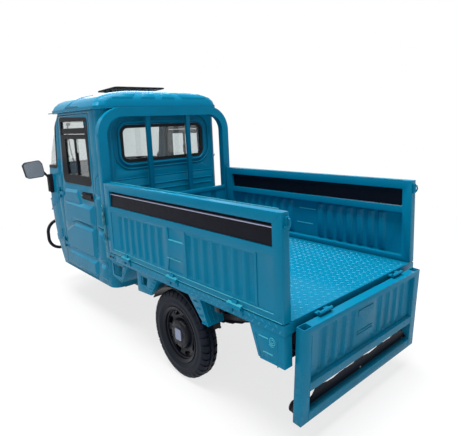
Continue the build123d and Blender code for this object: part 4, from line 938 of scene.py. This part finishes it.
for side, sign in SIDES:
    body = "door_" + side
    softened(body, 1.8, 24.0, 28)
    # The door ledges wear the lighter teal: painted light on their upper slopes.
    ledges = Piece(sign)
    for entry in DOOR_LEDGES:
        ledge(ledges, *entry)
    ledges.done("door_ledges_" + side, ledge_lit_paint, body, slot="teal_paint")
    fields = Piece(sign)
    for foot, face, proud in DOOR_FIELDS:
        field(fields, foot, face, 12, 4, proud)
    fields.tube([(x, CAB_HALF, z) for x, z in ((2714, 560), (2709, 522), (2702, 484))], 2.4, 6)
    for z in (536.9, 553.1, 996.9, 1013.1):
        fields.rod((2666, CAB_HALF + 8, z), (2666, CAB_HALF + 13.5, z), 4.5, 12)
    fields.done("door_fields_" + side, "teal_paint", body, smooth=12)
    trim = Piece(sign)
    trim.plate(rounded(FRAME_OUTER, 34, 6), "y", CAB_HALF - 9, CAB_HALF + 2.2,
               holes=[rounded(light, 20, 5) for light in FRAME_LIGHTS])
    trim.done("window_frame_" + side, "black_plastic", body, slot="black_rubber")
    runner = Piece(sign)
    runner.plate(rect(2062, 2600, 1490, 1514), "y", CAB_HALF - 1, CAB_HALF + 3.6)
    runner.plate(rect(2304, 2318, 1188, 1500), "y", CAB_HALF - 12, CAB_HALF - 5)
    runner.plate(rounded(rect(2300, 2316, 1300, 1372), 4, 2), "y", CAB_HALF - 22, CAB_HALF - 12)
    runner.bevel(1.0, 1).done("window_runner_" + side, "black_plastic", body)
    handle = Piece(sign)
    handle.plate(HANDLE_CUP, "y", CAB_HALF - 13, CAB_HALF + 2.5, holes=[inset(HANDLE_CUP, 8)])
    handle.plate(rounded([(2070, 1012), (2068, 1038), (2236, 1041), (2238, 1014)], 9), "y",
                 CAB_HALF - 10, CAB_HALF + 9, slope=4)
    handle.rod((LOCK[0], CAB_HALF - 8, LOCK[1]), (LOCK[0], CAB_HALF + 4, LOCK[1]), 9, 20)
    handle.plate(rounded([(2150, 1019), (2150, 1033), (2226, 1034), (2226, 1020)], 5, 3), "y",
                 CAB_HALF + 8, CAB_HALF + 13, slope=2)
    handle.done("door_handle_" + side, "black_plastic", body)
    lock = Piece(sign).rod((LOCK[0], CAB_HALF + 3, LOCK[1]), (LOCK[0], CAB_HALF + 5.2, LOCK[1]), 5.5, 20)
    lock.done("door_lock_" + side, zinc, body, slot="bare_steel")


# Roof. One pressed skin with a drip rail and a visor, stiffened by swages over its rear shoulder
# and its flanks; a ribbed black hatch tips up on two hinges at its front edge.
softened("roof", 2.5, 30.0, 40)
SHOULDER = ((1750, 8, 440), (1770, 12, 438), (1784, 16, 430), (1806, 34, 390), (1820, 62, 345))
SHOULDER_HALF = 440        # SHOULDER gives height, depth and half width, from its foot to its top
PADS = ((262, 440), (66, 200), (-123, 12), (-440, -182))          # from y to y, with grooves between
PAD_STEPS = 16
PAD_RISE = 7.0
PAD_EDGE = 14.0
UNDER = -12.0              # how deep the pads' hidden side lies


def shoulder_point(t, y, proud):
    """Point over the roof's rear shoulder: t runs from its foot to its top."""
    at = t * (len(SHOULDER) - 1)
    k = min(int(at), len(SHOULDER) - 2)
    (z0, in0, half0), (z1, in1, half1) = SHOULDER[k:k + 2]
    f = at - k
    y = max(-1.0, min(1.0, y / SHOULDER_HALF)) * (half0 + (half1 - half0) * f)
    across = Vector((in1 - in0, z1 - z0)).normalized()
    return (REAR - 22 + in0 + (in1 - in0) * f - across.y * proud, y, z0 + (z1 - z0) * f + across.x * proud)


swages = Piece()
for y0, y1 in PADS:
    rows = []
    for t in (k / PAD_STEPS for k in range(PAD_STEPS + 1)):
        lift = PAD_RISE * min(1.0, t * 1.5) ** 2 * min(1.0, (1 - t) * 6)
        half_lift = lift * 0.65 - 0.5
        rows.append([shoulder_point(t, y, proud) for y, proud in (
            (y0, -3.5), (y0 + PAD_EDGE * 0.4, half_lift), (y0 + PAD_EDGE, lift - 0.5), (y1 - PAD_EDGE, lift - 0.5),
            (y1 - PAD_EDGE * 0.4, half_lift), (y1, -3.5), (y1, UNDER), (y0, UNDER))])
    swages.loft(rows)
for _ in swages.both():
    swages.tube([(2444, 556, 1716), (2390, 549, 1738), (2340, 539, 1758), (2322, 505, 1784), (2318, 460, 1804),
                 (2240, 436, 1811), (2155, 414, 1815)], 7, 10)
    swages.tube([(2318, 460, 1804), (2150, 482, 1793), (1980, 506, 1777), (1835, 524, 1752)], 6, 10)
    swages.hull([(2420, 556, 1719), (2110, 556, 1726), (2330, 545, 1748), (2130, 548, 1738), (2340, 562, 1744),
                 (2130, 562, 1736)])
swages.done("roof_swages", "teal_paint")
rail = Piece().tube([(1793, y, 1704) for y in (-480, 480)], 4, 8)
for _ in rail.both():
    rail.tube([(x, 562, 1704) for x in (1880, 2300, 2780)], 4, 8)
rail.done("drip_rail", "teal_paint")
HATCH_PIN = (2483.0, 1868.0)
HATCH_TIPPED = 1.8
hatch = Piece()
for y in range(-160, 161, 80):
    hatch.plate(rounded(rect(2160, 2440, y - 12, y + 12), 10, 3), "z", 1880.5, 1884.5, slope=3)
hatch.tube([(x, y, 1874) for y, x in rect(-226, 226, 2134, 2466)], 6, 8, ring=True)
hatch.moved(swing(*HATCH_PIN, HATCH_TIPPED)).done("hatch_ribs", "black_plastic", "roof_hatch")


# Inside the cab. A stitched vinyl bench on a steel box, a ribbed rubber mat, a moulded dash with
# a blank display, and the handlebar with ribbed grips, switch pods and levers.
g = Finish("seat_vinyl")
wear = g.noise(7.0, 3.0, 0.5)
g.colour(wear, (0.016, 0.017, 0.020), (0.030, 0.031, 0.035))
g.set("Roughness", wear * 0.15 + 0.38)
g.bump(g.noise(380.0, 3.0, 0.6), 0.0006, 0.5)
dress("seat_vinyl", g)
SWELL_CAP = 0.024          # this and the four below are in metres
VOXEL = 0.008
CHANNELS = (-0.290, -0.145, 0.0, 0.145, 0.290)
CHANNEL_HALF = 0.016
CHANNEL_DEEP = 0.009
SWELL_FRAMES = 20


def swollen(mesh, name):
    """Cloth filled with air: the mesh is evened out, blown up a little, and kept within a cap."""
    form = linked(name + "_form", mesh)
    even = form.modifiers.new("even", "REMESH")
    even.mode = "VOXEL"
    even.voxel_size = VOXEL
    evened = evaluated(form)
    rest = [v.co.copy() for v in evened.vertices]
    pad = linked(name + "_cloth", evened)
    cloth = pad.modifiers.new("cloth", "CLOTH")
    cloth.settings.use_pressure = True
    cloth.settings.uniform_pressure_force = 4.0
    cloth.settings.effector_weights.gravity = 0.0
    cloth.collision_settings.use_collision = False
    cloth.point_cache.frame_end = SWELL_FRAMES
    for tick in range(SWELL_FRAMES):
        bpy.context.scene.frame_set(tick + 1)
    blown = evaluated(pad)
    bpy.context.scene.frame_set(1)
    for vert, start in zip(blown.vertices, rest):
        step = vert.co - start
        if step.length > SWELL_CAP:
            vert.co = start + step * (SWELL_CAP / step.length)
    return blown


def bench(name, node, low, high, axis):
    """Padded bench piece: box with round edges, blown up, then sewn channels and one subdivision."""
    form = Piece().box(*(c for pair in zip(low, high) for c in pair)).bevel(30.0, 4, 60)
    mesh = swollen(form.mesh(name), name)
    middle = (spot(*low)[axis] + spot(*high)[axis]) / 2
    for vert in mesh.vertices:
        for line in CHANNELS:
            near = abs(vert.co.y - line) / CHANNEL_HALF
            if vert.co[axis] > middle and near < 1:
                vert.co[axis] -= CHANNEL_DEEP * (1 - near ** 2) ** 2
    plain = linked(name + "_plain", mesh)
    finer = plain.modifiers.new("finer", "SUBSURF")
    finer.levels = finer.render_levels = 1
    pad = settle(evaluated(plain), name, "seat_vinyl", smooth=60, replaces=(node,))


bench("bench_cushion", "seat_cushion", (1952, -414, 702), (2356, 414, 772), 2)
bench("bench_back", "seat_backrest", (1852, -414, 834), (1914, 414, 1214), 0)
softened("seat_base", 2.5)
softened("cab_floor", 2.5)
mat = Piece()
for y in range(-372, 349, 60):
    mat.box(2360, 2540, y, y + 22, 349, 354)
for _ in mat.both():
    mat.hull([(x, y, z) for y in (130, 210) for x, z in ((2470, 392), (2548, 436), (2466, 386), (2544, 430))])
    mat.rod((2540, 170, 352), (2512, 170, 412), 8, 12)
mat.bevel(1.2, 1).done("floor_mat_and_pedals", "black_rubber")
softened("dash_panel", 3.0)
dash = Piece()
dash.plate(rounded([(-96, 1118), (96, 1118), (84, 1150), (-84, 1150)], 10, 3), "x", 2656, 2650,
           holes=[rounded([(-74, 1124), (74, 1124), (68, 1145), (-68, 1145)], 6, 3)])
for _ in dash.both():
    for y in range(200, 255, 18):
        dash.box(2700, 2760, y, y + 8, 1121, 1126)
    dash.plate(rounded(rect(2640, 2775, 190, 280), 14, 3), "z", 1121, 1124,
               holes=[rounded(rect(2652, 2764, 196, 274), 9, 3)])
dash.bevel(0.8, 1, 40).done("dash_fittings", "black_plastic")
screen_glass = Finish("display_glass", Roughness=0.08)
screen_glass.colour(screen_glass.noise(20.0), (0.004, 0.006, 0.009), (0.008, 0.011, 0.015))
display = Piece().box(2655, 2660, -74, 74, 1124, 1145).bevel(0.8, 1)
display.done("display", screen_glass, slot="black_plastic")

FRONT_X = 2920.0
LEAN = math.radians(22)
BAR_AT = 950.0


def on_axis(distance, y=0.0, ahead=0.0):
    """Point beside the steering axis, distance up from the front wheel's centre."""
    return (FRONT_X - distance * math.sin(LEAN) + ahead * math.cos(LEAN), y,
            TYRE_R + distance * math.cos(LEAN) + ahead * math.sin(LEAN))


softened("front_fork", 0.0)
softened("handlebar", 0.0)
softened("front_mudguard", 1.2, 20.0)
elbow, hand = Vector(on_axis(BAR_AT + 6, 120)), Vector(on_axis(BAR_AT + 40, 330, -70))
TUBE_UP = Vector((-4, 0, 18))
grips = Piece()
for _ in grips.both():
    for k in range(14):
        grips.rod(elbow.lerp(hand, 0.5 + k * 0.034), elbow.lerp(hand, 0.518 + k * 0.034), 19.5, 20)
    grips.rod(elbow.lerp(hand, 0.99), elbow.lerp(hand, 1.03), 22, 20)
    pod, pod_end = elbow.lerp(hand, 0.28), elbow.lerp(hand, 0.45)
    grips.rod(pod, pod_end, 24, 16)
    grips.rod(pod + TUBE_UP, pod_end + TUBE_UP, 7, 12)
grips.bevel(1.0, 1, 50).done("grips_and_pods", "black_rubber", "steering")
levers = Piece()
for _ in levers.both():
    levers.tube([on_axis(BAR_AT + 17, 186, 20), on_axis(BAR_AT + 24, 240, 16), on_axis(BAR_AT + 34, 300, 2),
                 on_axis(BAR_AT + 38, 334, -8)], 6.5, 10)
levers.rod(on_axis(BAR_AT - 16, 0, -28), on_axis(BAR_AT + 22, 0, -28), 12, 24)
levers.done("brake_levers", zinc, "steering", slot="bare_steel")
springs = Piece()
for sign in (1, -1):
    springs.tube([on_axis(110 + 180 * k / 120, sign * 92 + 27 * math.sin(math.tau * k / 12),
                          27 * math.cos(math.tau * k / 12)) for k in range(121)], 4.5, 8)
springs.done("fork_springs", zinc, "steering", slot="bare_steel")


# Front of the cab. Lamps with black bezels, a slatted panel between them, a bent-tube guard, a
# wiper that hangs from the top of the screen, and mirrors on black brackets.
NOSE = (               # height, and how far the middle stands ahead of the rear wall there
    (330, 1310), (520, 1417), (700, 1465), (900, 1489), (1100, 1475), (1234, 1441), (1360, 1383), (1500, 1289),
    (1700, 1090))
NOSE_R = 700.0


def on_nose(y, z, proud=0.0):
    """Point on the cab's bent front."""
    for (z0, reach0), (z1, reach1) in zip(NOSE, NOSE[1:]):
        if z <= z1:
            break
    reach = reach0 + (reach1 - reach0) * (z - z0) / (z1 - z0)
    return (REAR + reach - NOSE_R + math.sqrt(NOSE_R ** 2 - y ** 2) + proud, y, z)


def nose_line(start, end, steps, proud):
    """Points on the front along a straight line between two of its (y, z) places."""
    places = [Vector(start).lerp(Vector(end), k / steps) for k in range(steps + 1)]
    return [on_nose(*place, proud) for place in places]


g = Finish("lamp_clear", Roughness=0.08, IOR=1.49)
flute = (g.y * 420.0).wave()
g.colour(flute * 0.5, (0.55, 0.57, 0.58), (0.36, 0.38, 0.39))
g.set("Metallic", flute * 0.2 + 0.5)
g.bump(flute, 0.0015, 0.6)
dress("lamp_clear", g)
LAMP = (330, 800)
bezels = Piece()
for _ in bezels.both():
    for grow, proud, radius in ((1.0, 9, 7), (0.80, 12, 3)):
        bezels.tube([on_nose(LAMP[0] + y * grow, LAMP[1] + (z - LAMP[1]) * grow, proud)
                     for y, z in corner_loop(95, 745, 855, 50)], radius, 8, ring=True)
for z in range(760, 856, 19):
    bezels.tube(nose_line((-190, z), (190, z), 10, 4), 5.5, 8)
bezels.tube([on_nose(y, z, 3) for y, z in corner_loop(205, 740, 875, 26)], 6, 8, ring=True)
bezels.done("lamp_bezels_and_slats", "black_plastic")
plate_pale = Finish("blank_plate", Roughness=0.35)
plate_pale.colour(plate_pale.noise(12.0), (0.50, 0.51, 0.52), (0.58, 0.59, 0.60))
plate_x = on_nose(0, 620)[0]
number = Piece().plate(rounded(rect(-120, 120, 575, 655), 10, 3), "x", plate_x - 8, plate_x + 12)
number.bevel(0.8, 1).done("blank_plate", plate_pale, slot="lamp_clear")

CREASES = (((536, 815), (490, 838), (440, 862), (388, 888)), ((498, 573), (455, 584), (408, 596)),
           ((532, 912), (480, 938), (430, 964), (384, 988)))
creases, lines = Piece(), Piece()
for _ in creases.both():
    for points in CREASES:
        creases.tube([on_nose(y, z, 2) for y, z in points], 7, 10)
# The crease lips wear the lighter teal: painted highlights along the creases.
for _ in lines.both():
    for points in CREASES[:2]:
        lines.tube([on_nose(y, z + 3, 6.5) for y, z in points], 3, 8)
creases.done("nose_creases", "teal_paint")
lines.done("nose_crease_edges", edge_highlight_paint, slot="teal_paint")

softened("front_guard", 0.0)
g = Finish("mirror_silver")
speck = g.noise(150.0, 4.0, 0.75)
g.colour(speck.ramp(0.38, 0.62), (0.12, 0.14, 0.17), (0.30, 0.33, 0.37))
g.set("Metallic", speck * 0.1 + 0.25)
g.set("Roughness", speck * 0.15 + 0.32)
dress("mirror_silver", g)
softened("mirrors", 2.0, 12.0)
GLASS_WIDER, GLASS_TALLER = 1.07, 1.08       # the glass grown to the edge of its housing
faces = Piece()
faces.bm.from_mesh(NODES["mirror_glass"].data)
for sign in (1, -1):
    head = [v for v in faces.bm.verts if v.co.y * sign > 0]
    middle = sum((v.co for v in head), Vector()) / len(head)
    for v in head:
        v.co = (v.co.x - 0.001, middle.y + (v.co.y - middle.y) * GLASS_WIDER,
                middle.z + (v.co.z - middle.z) * GLASS_TALLER)
faces.done("mirror_faces", "mirror_silver", BODY_OF["mirror_glass"], replaces=("mirror_glass",))
fittings = Piece()
for _ in fittings.both():
    for z in (1030, 1120):
        fittings.rod((2950, 540, z), (2950, 580, z), 9, 16)
    fittings.hull([(2926, 541, 990), (2968, 541, 990), (2926, 570, 990), (2968, 560, 990),
                   (2920, 541, 1166), (2976, 541, 1160), (2920, 584, 1166), (2976, 574, 1156)])
fittings.rod((2950, 630, 1215), (2950, 660, 1232), 15, 20)
fittings.bevel(3.0, 2, 35).done("mirror_feet", "black_plastic")

WIPER_PIN, ARM_END = (347, 1611), (262, 1220)
wiper = Piece()
for shift, radius in ((0, 5.0), (14, 3.5)):
    wiper.tube(nose_line(WIPER_PIN, ARM_END, 8, 16 + shift), radius, 8)
wiper.tube(nose_line((300, 1470), (170, 1140), 10, 8), 6.0, 8)
wiper.rod(on_nose(*WIPER_PIN, -4), on_nose(*WIPER_PIN, 30), 16, 20)
wiper.rod(on_nose(270, 1300, 6), on_nose(270, 1300, 30), 7, 12)
wiper.done("wiper", "black_plastic")
border = Piece()
border.tube(nose_line((-380, 1646), (380, 1646), 19, 1), 9, 8)
border.tube(nose_line((-420, 1228), (420, 1228), 21, 1), 9, 8)
border.done("screen_border", "black_rubber")


# Studio. Pale floor and white surround, a big soft lamp overhead for the sky and a gentler one
# from behind on the left; the camera stands where the photograph was taken.
def seen(nodes):
    """1 for what is seen straight, in a reflection or through glass, and 0 for what only lights."""
    camera, glossy, through = (nodes.node("LightPath", out=f"Is {kind} Ray")
                               for kind in ("Camera", "Glossy", "Transmission"))
    return camera.maths("MAXIMUM", glossy).maths("MAXIMUM", through)


SOFT_SKY = 0.22
WHITE = (1.0, 1.0, 1.0)
world = bpy.data.worlds.new("studio")
bpy.context.scene.world = world
world.use_nodes = True
air = Nodes(world.node_tree)
soft = air.node("Background", None, (0.93, 0.96, 1.0), SOFT_SKY)
air.show(air.node("MixShader", None, seen(air), soft, air.node("Background", None, WHITE, 1.0)))

FLOOR_HALF = 40
mesh = bpy.data.meshes.new("floor")
mesh.from_pydata([(x, y, -0.001) for x, y in rect(-FLOOR_HALF, FLOOR_HALF, -FLOOR_HALF, FLOOR_HALF)], [],
                 [(0, 1, 2, 3)])
floor = linked("floor", mesh)
g = Finish("pale_floor", Roughness=0.7)
g.colour(g.noise(0.6), (0.84, 0.84, 0.84), (0.86, 0.86, 0.86))
SHADOW_KEPT = 0.25
FADE = (2.2, 5.0)         # metres over which the floor turns plain white
far_off = (g.x * g.x + g.y * g.y).ramp(FADE[0] ** 2, FADE[1] ** 2)
plain_white = seen(g) * (far_off * SHADOW_KEPT + (1.0 - SHADOW_KEPT))
g.show(g.node("MixShader", None, plain_white, Value(g, g.shader.outputs[0]), g.node("Emission", None, WHITE)))
mesh.materials.append(g.material)

LAMPS = (               # name, place, target, width and height in metres, watts
    ("sky", (0.0, 0.3, 7.0), (0.0, 0.0, 0.6), (7.0, 5.0), 1080.0),
    ("side", (-3.5, 6.5, 3.4), (0.0, 0.4, 0.8), (5.0, 3.0), 80.0),
    ("rear", (-7.0, -0.5, 2.6), (0.0, 0.0, 0.8), (4.0, 2.5), 15.0),
    ("front", (6.5, -3.5, 3.5), (0.0, 0.0, 0.8), (4.0, 2.5), 110.0))
for name, place, target, size, watts in LAMPS:
    data = bpy.data.lights.new(name, "AREA")
    data.shape = "RECTANGLE"
    data.size, data.size_y = size
    data.energy = watts
    aim = (Vector(target) - Vector(place)).to_track_quat("-Z", "Y")
    linked(name, data).matrix_world = Matrix.Translation(place) @ aim.to_matrix().to_4x4()

EYE = Vector((TAIL - 1.22496, 1.92197, 1.5563))
YAW, PITCH, ROLL = (math.radians(a) for a in (-41.72, -10.01, -2.37))
forward = Vector((math.cos(PITCH) * math.cos(YAW), math.cos(PITCH) * math.sin(YAW), math.sin(PITCH)))
right = forward.cross(Vector((0, 0, 1))).normalized()
level = Matrix((right, right.cross(forward), -forward)).transposed().to_4x4()
data = bpy.data.cameras.new("camera")
data.sensor_width = 36.0
data.lens = 34.13
data.shift_x, data.shift_y = -0.0249, -0.0400
camera = linked("camera", data)
camera.matrix_world = Matrix.Translation(EYE) @ level @ Matrix.Rotation(ROLL, 4, "Z")
bpy.context.scene.camera = camera

bpy.context.scene.view_settings.view_transform = "Standard"
